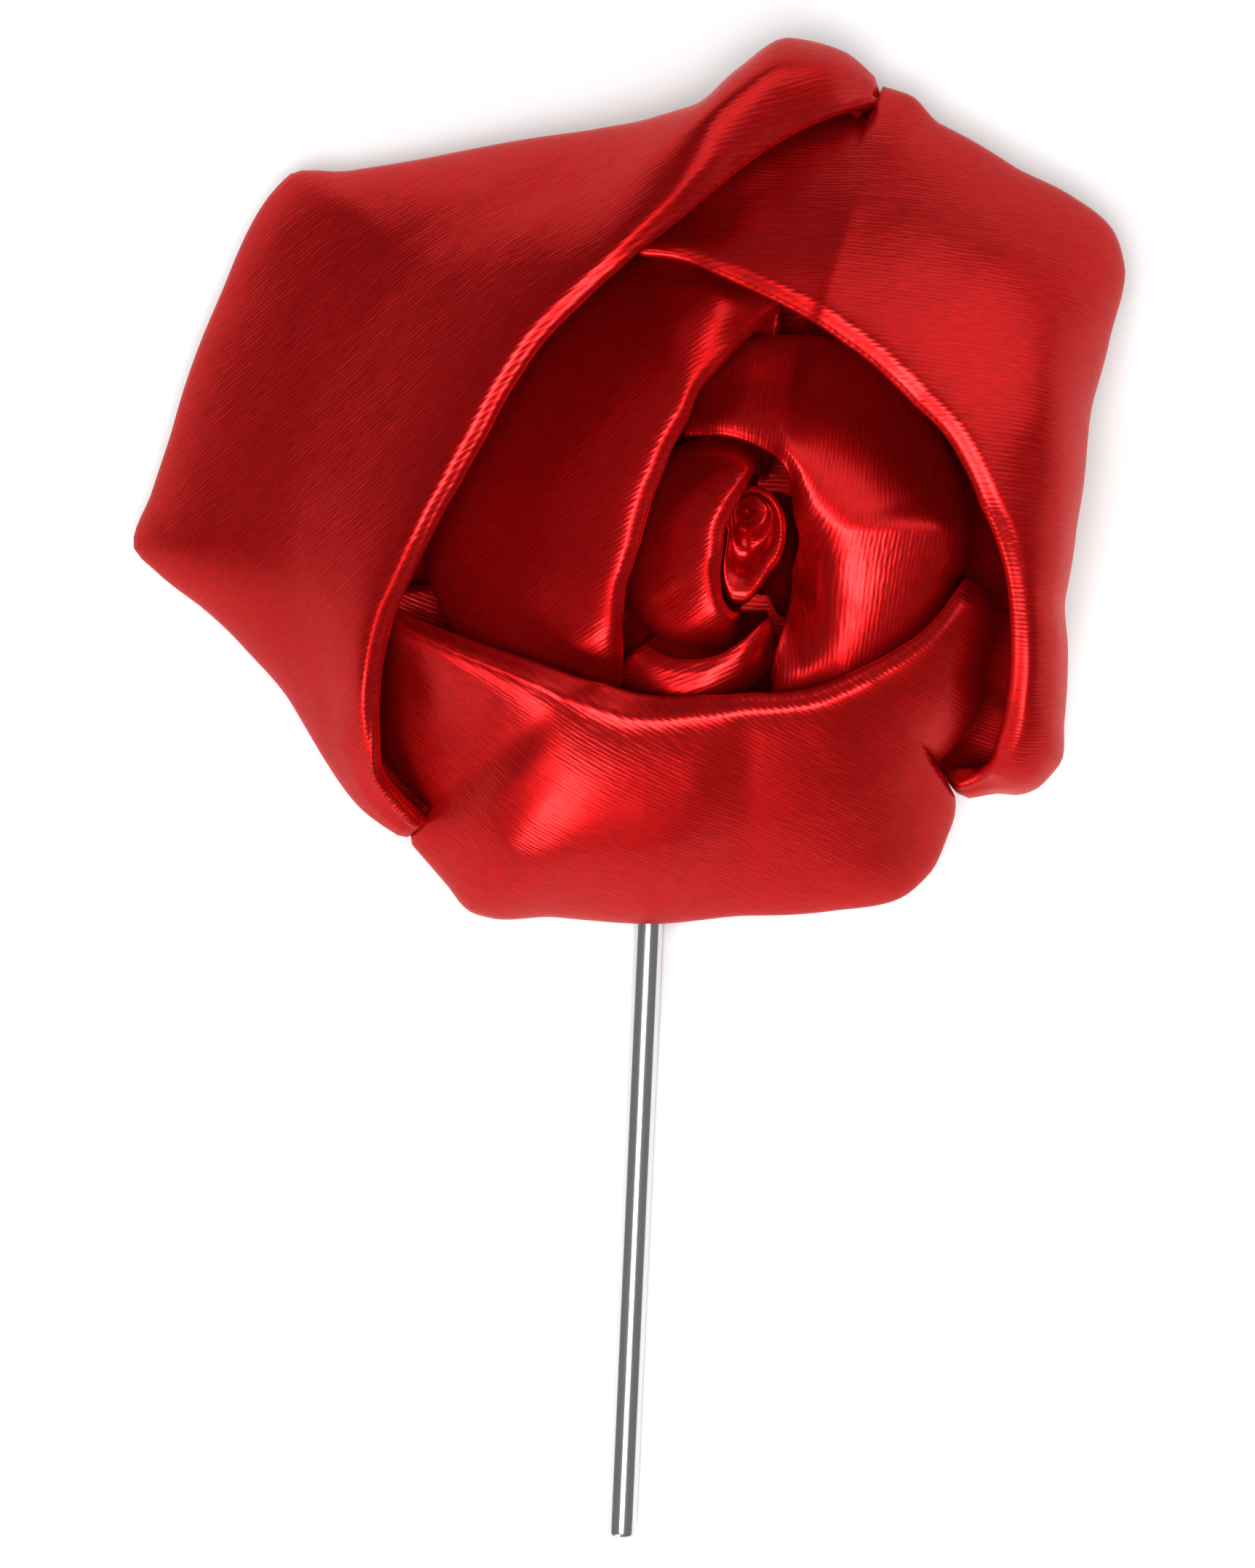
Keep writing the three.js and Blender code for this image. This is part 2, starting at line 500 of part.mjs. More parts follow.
function fromSolid(solid) {
  const mesh = solid.getMesh();
  const geometry = new THREE.BufferGeometry();
  geometry.setAttribute("position", new THREE.BufferAttribute(mesh.vertProperties, 3));
  geometry.setIndex(new THREE.BufferAttribute(mesh.triVerts, 1));
  geometry.computeVertexNormals();
  return geometry;
}

function stickGeometry() {
  const start = PAD_DIAMETER / 2 - WIRE_SEAT;
  const corner = WIRE_DIAMETER / 2 / Math.cos(Math.PI / WIRE_SIDES);
  const profile = [
    new THREE.Vector2(0, start),
    new THREE.Vector2(corner, start),
    new THREE.Vector2(corner, STICK_LENGTH - WIRE_END_ROUND),
    new THREE.Vector2(corner - WIRE_END_ROUND, STICK_LENGTH),
    new THREE.Vector2(0, STICK_LENGTH),
  ];
  const wire = new THREE.LatheGeometry(profile, WIRE_SIDES);
  wire.rotateY(Math.PI / WIRE_SIDES);
  wire.rotateX(Math.PI);
  wire.computeBoundingBox();
  wire.translate(0, 0, -wire.boundingBox.min.z);
  const pad = new THREE.CylinderGeometry(PAD_DIAMETER / 2, PAD_DIAMETER / 2, PAD_THICKNESS, PAD_SIDES);
  pad.rotateX(Math.PI / 2);
  pad.translate(0, 0, PAD_THICKNESS / 2);
  return fromSolid(toSolid(pad).add(toSolid(wire)));
}

const satin = (colour) =>
  new THREE.MeshStandardMaterial({ color: colour, roughness: 0.4, metalness: 0.3 });
const steel = new THREE.MeshStandardMaterial({ color: STEEL, roughness: 0.2, metalness: 1 });

function piece(name, geometry, material) {
  const mesh = new THREE.Mesh(geometry, material);
  mesh.name = name;
  return mesh;
}

const rose = new THREE.Group();
rose.add(
  piece("outer_fold_left", foldGeometry(OUTER_LEFT, FOLD_WALL), satin(RED)),
  piece("outer_fold_right", foldGeometry(OUTER_RIGHT, FOLD_WALL), satin(RED)),
  piece("outer_fold_bottom", foldGeometry(OUTER_BOTTOM, FOLD_WALL), satin(RED)),
  piece("middle_fold_left", foldGeometry(MIDDLE_LEFT, ROLL_WALL), satin(RED)),
  piece("middle_fold_right", foldGeometry(MIDDLE_RIGHT, ROLL_WALL), satin(RED)),
  piece("inner_fold_left", foldGeometry(INNER_LEFT, ROLL_WALL), satin(DEEP_RED)),
  piece("inner_fold_bottom", foldGeometry(INNER_BOTTOM, ROLL_WALL), satin(DEEP_RED)),
  piece("bud_roll", budGeometry(), satin(DEEP_RED)),
);

const lapelPin = new THREE.Group();
lapelPin.add(piece("stick_pin", stickGeometry(), steel), rose);

export default lapelPin;
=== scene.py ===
# %% [markdown]
# # Satin rose lapel pin
# A rose folded from one red satin ribbon sits on a round pad with a straight steel stick.
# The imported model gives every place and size; this lesson dresses it. The pin lies on its back,
# with the rose facing up, so the camera looks straight down on it.

import math

import bmesh
import bpy
import numpy as np
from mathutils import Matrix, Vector


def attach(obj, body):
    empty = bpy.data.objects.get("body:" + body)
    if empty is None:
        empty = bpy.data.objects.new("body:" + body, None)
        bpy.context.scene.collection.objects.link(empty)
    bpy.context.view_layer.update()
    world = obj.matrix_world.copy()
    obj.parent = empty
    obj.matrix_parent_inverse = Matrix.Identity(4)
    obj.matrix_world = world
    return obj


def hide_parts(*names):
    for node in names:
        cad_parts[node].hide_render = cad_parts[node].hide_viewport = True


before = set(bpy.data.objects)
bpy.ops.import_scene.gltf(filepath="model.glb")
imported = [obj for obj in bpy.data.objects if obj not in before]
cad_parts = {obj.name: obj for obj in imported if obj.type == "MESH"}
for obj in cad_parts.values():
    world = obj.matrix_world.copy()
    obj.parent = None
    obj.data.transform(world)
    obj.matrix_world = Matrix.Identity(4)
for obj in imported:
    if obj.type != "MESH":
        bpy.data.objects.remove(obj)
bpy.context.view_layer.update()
print("nodes:", sorted(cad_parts))

# %% [markdown]
# ## Colours and nodes
# Colours are written as the hex values a painter would read off the object. A shader wants
# linear light, so one function turns them. A second small function adds a shader node with its
# settings and links, which keeps each material readable as a recipe.

# %% Colour and node helpers
MM = 0.001


def linear(hex_colour):
    """sRGB hex to linear: each channel below 0.04045 is divided by 12.92, the rest is
    ((c + 0.055) / 1.055) to the power 2.4."""
    c = np.array([int(hex_colour[i : i + 2], 16) for i in (1, 3, 5)]) / 255
    low = c / 12.92
    high = ((c + 0.055) / 1.055) ** 2.4
    return (*np.where(c <= 0.04045, low, high).tolist(), 1.0)


def add(tree, kind, settings=None, **links):
    """Adds a node. Settings are attributes or input values, by name or number. Links join an
    input to another node's output, by its name with underscores for spaces, or by i and its
    number."""
    node = tree.nodes.new(kind)
    for name, value in (settings or {}).items():
        if isinstance(name, int) or name in node.inputs:
            node.inputs[name].default_value = value
        else:
            setattr(node, name, value)
    for name, source in links.items():
        key = name.replace("_", " ")
        key = int(key[1:]) if key[0] == "i" and key[1:].isdigit() else key
        tree.links.new(source, node.inputs[key])
    return node


def new_material(name):
    """An empty material and its node tree."""
    material = bpy.data.materials.new(name)
    material.use_nodes = True
    material.node_tree.nodes.clear()
    return material, material.node_tree


# %% [markdown]
# ## Camera
# The photograph looks straight at the rose from some way off, so nothing converges. A 300 mm
# lens at about 0.42 m gives that flat view. The camera is rolled a little, because the stick
# leans about 2.5 degrees in the picture.

# %% Camera straight above
LENS = 300.0
SENSOR = 36.0
PIXELS_WIDE = 1725
PIXELS_PER_MM = 34.0
ROLL = math.radians(2.54)
LOOK_AT = (-1.12 * MM, -10.04 * MM)
SHARP_LEVEL = 9 * MM

camera_data = bpy.data.cameras.new("camera")
camera_data.lens = LENS
camera_data.sensor_width = SENSOR
camera_data.sensor_fit = "HORIZONTAL"
camera_data.clip_start = 0.01
camera = bpy.data.objects.new("camera", camera_data)
bpy.context.scene.collection.objects.link(camera)
distance = PIXELS_WIDE * LENS / (SENSOR * PIXELS_PER_MM) * MM
camera.location = (LOOK_AT[0], LOOK_AT[1], SHARP_LEVEL + distance)
camera.rotation_euler = (0, 0, ROLL)
bpy.context.scene.camera = camera
print(f"camera {distance * 1000:.0f} mm above the petals")

# %% [markdown]
# ## Floor and light
# Satin shows its lamps as long soft bands, so the lamps matter as much as the cloth. The main
# lamp is a soft one beside the camera. A smaller one, low at the lower left, makes the bright
# patch on the bottom petal, and a wide dim one at the upper right lifts the right petals.
# The rest is a dim white room. The floor is painted matt, so it shows no reflections of its
# own. The steep outer faces of the petals mirror it, so it is a little darker than white, and
# they keep the depth of colour that they have in the photo.

# %% Floor
FLOOR_SIDE = 3.0
FLOOR_COLOUR = "#F2F2F2"

bpy.ops.mesh.primitive_plane_add(size=FLOOR_SIDE, location=(0, 0, 0))
floor = bpy.context.object
floor.name = "floor"
floor_paint, tree = new_material("matt white paint")
paint = add(
    tree,
    "ShaderNodeBsdfPrincipled",
    {"Base Color": linear(FLOOR_COLOUR), "Roughness": 0.9},
)
add(tree, "ShaderNodeOutputMaterial", Surface=paint.outputs[0])
floor.data.materials.append(floor_paint)
print(f"floor {FLOOR_SIDE} m wide")

# %% Lamps
ROOM_LIGHT = 0.2
ROSE_MIDDLE = (0.003, 0, 0.008)

scene = bpy.context.scene
scene.view_settings.view_transform = "Standard"
world = bpy.data.worlds.new("room")
scene.world = world
world.use_nodes = True
sky = world.node_tree.nodes["Background"]
sky.inputs["Color"].default_value = (1, 1, 1, 1)
sky.inputs["Strength"].default_value = ROOM_LIGHT


def soft_lamp(name, azimuth, elevation, reach, size, power):
    """A square lamp on a sphere round the rose, turned to its middle: x = reach cos e cos a,
    y = reach cos e sin a, z = reach sin e. Reach and size in metres, power in watts."""
    a, e = math.radians(azimuth), math.radians(elevation)
    lamp = bpy.data.lights.new(name, "AREA")
    lamp.shape = "RECTANGLE"
    lamp.size, lamp.size_y = size
    lamp.energy = power
    lamp_object = bpy.data.objects.new(name, lamp)
    way = np.array([math.cos(e) * math.cos(a), math.cos(e) * math.sin(a), math.sin(e)])
    lamp_object.location = way * reach + np.array(ROSE_MIDDLE)
    lamp_object.rotation_euler = Vector(way).to_track_quat("Z", "Y").to_euler()
    scene.collection.objects.link(lamp_object)


soft_lamp("lamp by the camera", 250, 85, 0.6, (0.2, 0.2), 3.1)
soft_lamp("lamp lower left", 246, 28, 0.42, (0.17, 0.17), 1.15)
soft_lamp("lamp upper right", 50, 34, 0.42, (0.34, 0.34), 0.65)

# %% [markdown]
# ## The folds' shape
# The real rose is one ribbon, doubled lengthwise and wound round a bud; each turn is folded
# outward into a petal. Three ways could make it: sculpting, cloth simulation, or a wall carried
# round the rose's axis. The last keeps each fold where the solid one is, so it was chosen. At
# every turn angle the wall has the same story: rim, crest, shoulder, brink, foot. All lengths
# are in millimetres until the mesh is made.

# %% Sizes and the smooth table
PETAL_REACH = 25.0
ROSE_HEIGHT = 14.5
ROSE_OFFSET = 3.57
ROSE_TURN = 2.5
FOLD_WALL = 1.0
ROLL_WALL = 0.7
LAYER_GAP = 0.45
FOOT_RING = 6.8
FOOT_LEVEL = 1.55
BRINK_MITRE = 1.35
UNDER_SHARE = 0.42
UNDER_SHARE_OUT = 0.87
COVERED_BRINK_IN, COVERED_BRINK_UP = 0.9, 0.65
FOLD_PITCH = FOLD_WALL + LAYER_GAP
MIXED_PITCH = (FOLD_WALL + ROLL_WALL) / 2 + LAYER_GAP
ROLL_PITCH = ROLL_WALL + LAYER_GAP
LAYER_DEPTHS = np.cumsum([0, FOLD_PITCH, MIXED_PITCH, ROLL_PITCH, ROLL_PITCH])
print("depths of the layers in mm:", LAYER_DEPTHS.round(2).tolist())


def smooth_table(rows, turns):
    """Values between rows, without overshoot: a monotone cubic. The tangent at a row is the
    harmonic mean of the slopes beside it, or zero where they change sign."""
    x, y = rows[:, 0], rows[:, 1:]
    slope = np.diff(y, axis=0) / np.diff(x)[:, None]
    before, after = slope[:-1], slope[1:]
    product = before * after
    both = before + after
    inner = np.where(product > 0, 2 * product / np.where(both == 0, 1, both), 0)
    tangent = np.vstack([slope[:1], inner, slope[-1:]])
    i = np.clip(np.searchsorted(x, turns, side="right") - 1, 0, len(x) - 2)
    width = (x[i + 1] - x[i])[:, None]
    t = (turns - x[i])[:, None] / width
    t2, t3 = t * t, t * t * t
    return (
        (2 * t3 - 3 * t2 + 1) * y[i]
        + (t3 - 2 * t2 + t) * tangent[i] * width
        + (3 * t2 - 2 * t3) * y[i + 1]
        + (t3 - t2) * tangent[i + 1] * width
    )


# %% Curves through control points
def smooth_line(points, per_span):
    """A centripetal Catmull-Rom curve through points (stations, controls, 2): each span is a
    cubic whose end tangents follow the neighbours, with spacing by the root of the distance."""
    first = 2 * points[:, :1] - points[:, 1:2]
    last = 2 * points[:, -1:] - points[:, -2:-1]
    p = np.concatenate([first, points, last], axis=1)
    gap = np.maximum(np.linalg.norm(np.diff(p, axis=1), axis=2), 1e-6) ** 0.5
    t = np.linspace(0, 1, per_span, endpoint=False)[None, :, None]
    spans = []
    for k in range(points.shape[1] - 1):
        p0, p1, p2, p3 = p[:, k], p[:, k + 1], p[:, k + 2], p[:, k + 3]
        d0, d1, d2 = (gap[:, k + j][:, None] for j in range(3))
        m1 = ((p1 - p0) / d0 - (p2 - p0) / (d0 + d1) + (p2 - p1) / d1) * d1
        m2 = ((p2 - p1) / d1 - (p3 - p1) / (d1 + d2) + (p3 - p2) / d2) * d1
        p1, p2, m1, m2 = (v[:, None, :] for v in (p1, p2, m1, m2))
        spans.append(
            (2 * t**3 - 3 * t**2 + 1) * p1
            + (t**3 - 2 * t**2 + t) * m1
            + (3 * t**2 - 2 * t**3) * p2
            + (t**3 - t**2) * m2
        )
    spans.append(points[:, -1:])
    return np.concatenate(spans, axis=1)


def unit(v):
    """Each vector divided by its length."""
    return v / np.maximum(np.linalg.norm(v, axis=-1, keepdims=True), 1e-9)


def inward_of(v):
    """A direction turned a quarter to the inside of the wall."""
    return np.stack([v[..., 1], -v[..., 0]], axis=-1)


# %% The wall's control points, row by row
def wall_points(rows, wall):
    """Six points for each row, as (out, up) pairs: the middle of the rim, then crest, shoulder,
    brink, under and foot on the outer side. Out is a share of the reach, up a share of the
    height less the depth of the row's layer; a covered fold's brink and foot draw inward.
    Under lies at a fixed share of the way from the brink to the foot."""
    v = rows[:, 1:]
    layer = v[:, 8]
    depth = np.interp(layer, range(5), LAYER_DEPTHS)
    cover = np.minimum(layer, 1)
    pair = lambda a, b: np.stack([a, b], axis=1)
    reach, high = PETAL_REACH, ROSE_HEIGHT
    rim = pair(v[:, 0] * reach + wall / 2, v[:, 1] * high - depth)
    crest = pair(v[:, 2] * reach, v[:, 3] * high - depth)
    shoulder = pair(v[:, 4] * reach, v[:, 5] * high - depth)
    brink = pair(v[:, 6] * reach, v[:, 7] * high)
    foot = np.tile([FOOT_RING + wall / 2, FOOT_LEVEL], (len(rows), 1))
    under = brink + UNDER_SHARE * (foot - brink)
    lift = inward_of(unit(foot - brink)) * (cover * (FOLD_PITCH + 0.5 * LAYER_GAP))[:, None]
    if layer.max() <= 1:
        shift = cover * (BRINK_MITRE * FOLD_WALL + LAYER_GAP)
        brink = brink + pair(-COVERED_BRINK_IN * shift, COVERED_BRINK_UP * cover * FOLD_PITCH)
        under = under + lift
        foot = foot + lift + pair(cover * LAYER_GAP, 0 * cover)
    else:
        foot = pair(FOOT_RING - depth + wall / 2, 0 * depth + FOOT_LEVEL)
        under = pair(
            brink[:, 0] + UNDER_SHARE_OUT * (foot[:, 0] - brink[:, 0]),
            brink[:, 1] + UNDER_SHARE * (foot[:, 1] - brink[:, 1]),
        )
    return np.concatenate([rim, crest, shoulder, brink, under, foot], axis=1)


# %% The wall's section at every turn
def wall_sections(rows, turns, wall):
    """The control points run smoothly from row to row. The inner side lies a wall's thickness
    away from the outer one, along the mitre of the two spans that meet at each point."""
    table = np.concatenate([rows[:, :1], wall_points(rows, wall)], axis=1)
    v = smooth_table(table, turns).reshape(len(turns), 6, 2)
    end, crest = v[:, 0], v[:, 1]
    along = unit(crest - end)
    middle = crest + inward_of(along) * wall / 2
    along = unit(middle - end)
    side = -inward_of(along)
    outer = np.concatenate([(end + side * wall / 2)[:, None], v[:, 1:]], axis=1)
    spans = unit(np.diff(outer, axis=1))
    way = unit(spans[:, :-1] + spans[:, 1:])
    mitre = 1 / np.maximum((way * spans[:, 1:]).sum(-1), 0.1)
    mitre = np.minimum(mitre, BRINK_MITRE)[..., None]
    inner = outer.copy()
    inner[:, 0] = end - (side + along) * wall / 2 * math.sqrt(0.5)
    inner[:, 1:-1] += inward_of(way) * wall * mitre
    inner[:, -1] += inward_of(spans[:, -1]) * wall
    return outer, inner, end, along, side


# %% [markdown]
# ## From sections to a skin
# A section is a closed loop: round the rim's fold, down the outer side, back up the inner side.
# Each loop is placed at its turn angle, and the loops' ends are drawn together so that the
# ribbon closes in a soft edge. The ribbon's threads follow a map that unrolls each fold.

# %% Skin of one fold
FAN_DROP = 0.6


def fold_surface(rows, wall, nip, laps=(0, 0), point=0, turn_step=1.0, per_span=12):
    """Grid (stations, loop) of points in mm, x = offset + out cos a, y = out sin a, z = up, and
    its map: the fold unrolled to a fan, out + drop (height - up) from the axis. Laps are the
    degrees by which the ends reach over the gap to a neighbour. A fold with a point draws its
    last degrees together towards its rim, as the root of the share of the way left. The nip
    brings the crest nearer to the rim, because the satin is thinner than the solid wall."""
    rows = np.array(rows, dtype=float)
    rows[:, 3] -= nip / PETAL_REACH
    rows[0, 0] -= laps[0]
    rows[-1, 0] += laps[1]
    turns = np.unique(
        np.concatenate([np.arange(rows[0, 0], rows[-1, 0], turn_step), rows[[0, -1], 0]])
    )
    outer, inner, end, along, side = wall_sections(rows, turns, wall)
    if point:
        share = np.clip((turns[-1] - turns) / point, 0, 1)[:, None, None] ** 0.5
        outer = end[:, None] + (outer - end[:, None]) * share
        inner = end[:, None] + (inner - end[:, None]) * share
        wall = wall * share[:, :, 0]
    outside = smooth_line(outer, per_span)
    inside = smooth_line(inner, per_span)
    arc = np.linspace(-np.pi / 4, np.pi / 2, 9)[1:-1][None, :, None]
    half = np.max(wall) / 2
    tip = end[:, None] + np.reshape(wall, (-1, 1, 1)) / 2 * (
        np.sin(arc) * side[:, None] - np.cos(arc) * along[:, None]
    )
    edge = np.minimum(turns - turns[0], turns[-1] - turns)
    mean_out = outside[:, :, 0].mean(axis=1)
    run = np.clip(np.radians(edge) * mean_out / half, 0, 1)
    thick = np.sqrt(np.clip(1 - (1 - run) ** 2, 0, 1))[:, None, None]
    thick[0] = thick[-1] = 0.0
    spine = (outside + inside) / 2
    outside = spine + (outside - spine) * thick
    inside = spine + (inside - spine) * thick
    tip = spine[:, :1] + (tip - spine[:, :1]) * thick
    loop = np.concatenate([tip, outside, inside[:, ::-1]], axis=1)
    angle = np.radians(turns + ROSE_TURN)[:, None]
    out, up = loop[..., 0], loop[..., 1]
    xyz = np.stack([ROSE_OFFSET + out * np.cos(angle), out * np.sin(angle), up], axis=-1)
    fan = out + FAN_DROP * (ROSE_HEIGHT - up)
    flat = np.stack([fan * np.cos(angle), fan * np.sin(angle)], axis=-1)
    return xyz, flat


# %% Mesh from a closed grid
MERGE_DISTANCE = 1e-7
SMALLEST_EDGE = 1e-8


def grid_mesh(name, xyz, flat, thread_angle):
    """Joins each loop to the next with squares, and writes the thread map: the unrolled place
    turned so that its first axis lies along the shining threads. The first and last loops are
    folded flat, so merging doubles closes them."""
    count, ring = xyz.shape[:2]
    i = np.arange(count - 1)[:, None] * ring
    k = np.arange(ring)[None, :]
    n = (k + 1) % ring
    quads = np.stack([i + k, i + n, i + ring + n, i + ring + k], axis=-1).reshape(-1, 4)
    c, s = math.cos(thread_angle), math.sin(thread_angle)
    turned = flat.reshape(-1, 2) @ np.array([[c, -s], [s, c]])
    return close_up(name, xyz, quads, turned)


def close_up(name, xyz, quads, threads):
    """Makes the piece from points in mm, their squares and their places on the thread map. Then
    it merges doubles, turns all faces outward and smooths them."""
    mesh = bpy.data.meshes.new(name)
    mesh.from_pydata((xyz.reshape(-1, 3) * MM).tolist(), [], quads.tolist())
    loops = np.empty(len(mesh.loops), dtype=np.int32)
    mesh.loops.foreach_get("vertex_index", loops)
    mesh.uv_layers.new(name="threads").data.foreach_set("uv", threads[loops].ravel())
    shape = bmesh.new()
    shape.from_mesh(mesh)
    bmesh.ops.remove_doubles(shape, verts=shape.verts, dist=MERGE_DISTANCE)
    bmesh.ops.dissolve_degenerate(shape, edges=shape.edges, dist=SMALLEST_EDGE)
    bmesh.ops.recalc_face_normals(shape, faces=shape.faces)
    for face in shape.faces:
        face.smooth = True
    open_edges = sum(1 for edge in shape.edges if len(edge.link_faces) != 2)
    shape.to_mesh(mesh)
    shape.free()
    piece = bpy.data.objects.new(name, mesh)
    bpy.context.scene.collection.objects.link(piece)
    print(f"{name}: {len(mesh.polygons)} faces, {open_edges} open edges")
    return piece


# %% [markdown]
# ## Satin
# Polyester satin: most of the fine threads float over the others on the shining side, so the
# cloth has a broad highlight that stretches across the threads, and shows the weave as fine
# slanting lines. Real threads are too fine for the picture, so groups of them are drawn, a
# fifth of a millimetre apart. A plain glossy red would shine white; here four fifths of the
# gloss is metallic, so that it shines red, with anisotropy along the thread map. A thin coat
# adds the pale sheen, and a fine bump breaks it into ticks as the floating threads do.

# %% Satin finish
THREAD_PITCH = 0.2
FLOAT_LENGTH = 0.8
SLACK_PER_MM = (0.14, 0.22, 1)
ONE_BAND_EACH = 0.314
WEAVE_DEPTH = 0.03 * MM
SLACK_DEPTH = 0.25 * MM


def satin(name, body, shade):
    """Colour, roughness and bump all follow the thread map, which is in millimetres. Threads are
    stretched noise mixed with even waves, one band to each unit; slack is a slow wave of the
    whole cloth."""
    material, tree = new_material(name)
    place = add(tree, "ShaderNodeUVMap", {"uv_map": "threads"}).outputs[0]
    fine = add(
        tree,
        "ShaderNodeMapping",
        {"Scale": (1 / FLOAT_LENGTH, 1 / THREAD_PITCH, 1)},
        Vector=place,
    ).outputs[0]
    floats = add(
        tree,
        "ShaderNodeTexNoise",
        {"Scale": 1.0, "Detail": 1.0, "Roughness": 0.5},
        Vector=fine,
    ).outputs[0]
    waves = add(
        tree,
        "ShaderNodeTexWave",
        {
            "wave_type": "BANDS",
            "bands_direction": "Y",
            "Scale": ONE_BAND_EACH,
            "Distortion": 2.0,
            "Detail": 1.0,
            "Detail Scale": 1.0,
        },
        Vector=fine,
    ).outputs[1]
    threads = add(
        tree,
        "ShaderNodeMix",
        {"data_type": "FLOAT", 0: 0.2, 2: 0.5, 3: 0.5},
        i2=floats,
        i3=waves,
    ).outputs[0]
    slow = add(tree, "ShaderNodeMapping", {"Scale": SLACK_PER_MM}, Vector=place).outputs[0]
    slack = add(
        tree, "ShaderNodeTexNoise", {"Scale": 1.0, "Detail": 2.0}, Vector=slow
    ).outputs[0]
    colour = add(tree, "ShaderNodeValToRGB", Fac=threads)
    colour.color_ramp.elements[0].position = 0.3
    colour.color_ramp.elements[0].color = linear(shade)
    colour.color_ramp.elements[1].position = 0.7
    colour.color_ramp.elements[1].color = linear(body)
    rough = add(tree, "ShaderNodeMapRange", {"To Min": 0.33, "To Max": 0.4}, Value=slack)
    soft = add(
        tree, "ShaderNodeBump", {"Strength": 0.5, "Distance": SLACK_DEPTH}, Height=slack
    ).outputs[0]
    woven = add(
        tree,
        "ShaderNodeBump",
        {"Strength": 0.5, "Distance": WEAVE_DEPTH},
        Height=threads,
        Normal=soft,
    )
    tangent = add(tree, "ShaderNodeTangent", {"direction_type": "UV_MAP", "uv_map": "threads"})
    cloth = add(
        tree,
        "ShaderNodeBsdfPrincipled",
        {
            "Metallic": 0.8,
            "Anisotropic": 0.55,
            "Specular IOR Level": 0.5,
            "Specular Tint": linear("#FFA096"),
            "Coat Weight": 0.12,
            "Coat Roughness": 0.25,
        },
        Base_Color=colour.outputs[0],
        Roughness=rough.outputs[0],
        Normal=woven.outputs[0],
        Coat_Normal=woven.outputs[0],
        Tangent=tangent.outputs[0],
    )
    add(tree, "ShaderNodeOutputMaterial", Surface=cloth.outputs[0])
    return material


# One ribbon makes the whole rose. The inner turns get a lighter copy of its satin: painted light
# that lifts the shade deep among the folds.
outer_satin = satin("polyester satin, outer turns", "#B80A0C", "#A0070A")
inner_satin_painted_lighter = satin("polyester satin, inner turns, painted lighter", "#C2090D", "#AC070A")
print("satin:", outer_satin.name, "and", inner_satin_painted_lighter.name)

# %% [markdown]
# ## The folds' tables
# Each row is one turn angle and then, as shares of the petals' reach and the rose's height:
# rim out and up, crest out and up, shoulder out and up, brink out and up, and the layer, which
# is 0 for the outermost ribbon and grows inward. They are the solid model's own rows, so each
# fold lies where its solid does; only its wall is thinner, as satin is.

# %% Outer folds, left and right
OUTER_LEFT = [
    [76, 0.733, 0.5, 0.766, 0.47, 0.771, 0.42, 0.774, 0.35, 0],
    [80, 0.694, 0.62, 0.74, 0.64, 0.784, 0.59, 0.808, 0.38, 0],
    [86, 0.646, 0.71, 0.698, 0.74, 0.774, 0.7, 0.816, 0.44, 0],
    [92, 0.598, 0.79, 0.654, 0.83, 0.728, 0.79, 0.76, 0.53, 0],
    [98, 0.554, 0.87, 0.618, 0.91, 0.678, 0.85, 0.704, 0.59, 0],
    [104, 0.522, 0.92, 0.58, 0.95, 0.65, 0.83, 0.702, 0.55, 0],
    [111, 0.498, 0.945, 0.55, 0.97, 0.632, 0.8, 0.716, 0.49, 0],
    [118, 0.479, 0.96, 0.529, 0.98, 0.622, 0.79, 0.745, 0.43, 0],
    [129, 0.464, 0.965, 0.514, 0.985, 0.65, 0.76, 0.812, 0.35, 0],
    [137.5, 0.46, 0.968, 0.51, 0.99, 0.676, 0.735, 0.9, 0.295, 0],
    [141.5, 0.458, 0.968, 0.508, 0.99, 0.69, 0.72, 0.97, 0.26, 0],
    [145, 0.456, 0.965, 0.506, 0.987, 0.694, 0.71, 0.976, 0.25, 0],
    [156, 0.457, 0.96, 0.507, 0.982, 0.7, 0.69, 0.962, 0.24, 0],
    [168, 0.476, 0.945, 0.526, 0.967, 0.718, 0.67, 0.968, 0.235, 0],
    [175, 0.5, 0.935, 0.55, 0.957, 0.74, 0.645, 0.988, 0.21, 0],
    [180, 0.52, 0.925, 0.57, 0.947, 0.756, 0.63, 1.016, 0.195, 0],
    [183, 0.534, 0.912, 0.584, 0.935, 0.752, 0.635, 0.972, 0.205, 0],
    [187, 0.556, 0.892, 0.606, 0.915, 0.738, 0.65, 0.9, 0.235, 0],
    [191, 0.584, 0.862, 0.634, 0.885, 0.728, 0.66, 0.852, 0.27, 0],
    [199, 0.632, 0.8, 0.68, 0.82, 0.728, 0.65, 0.794, 0.33, 0],
    [207, 0.678, 0.69, 0.72, 0.7, 0.75, 0.58, 0.777, 0.35, 0],
    [213, 0.708, 0.59, 0.744, 0.58, 0.758, 0.5, 0.77, 0.35, 0],
    [219, 0.7, 0.51, 0.733, 0.475, 0.739, 0.43, 0.742, 0.36, 0],
]

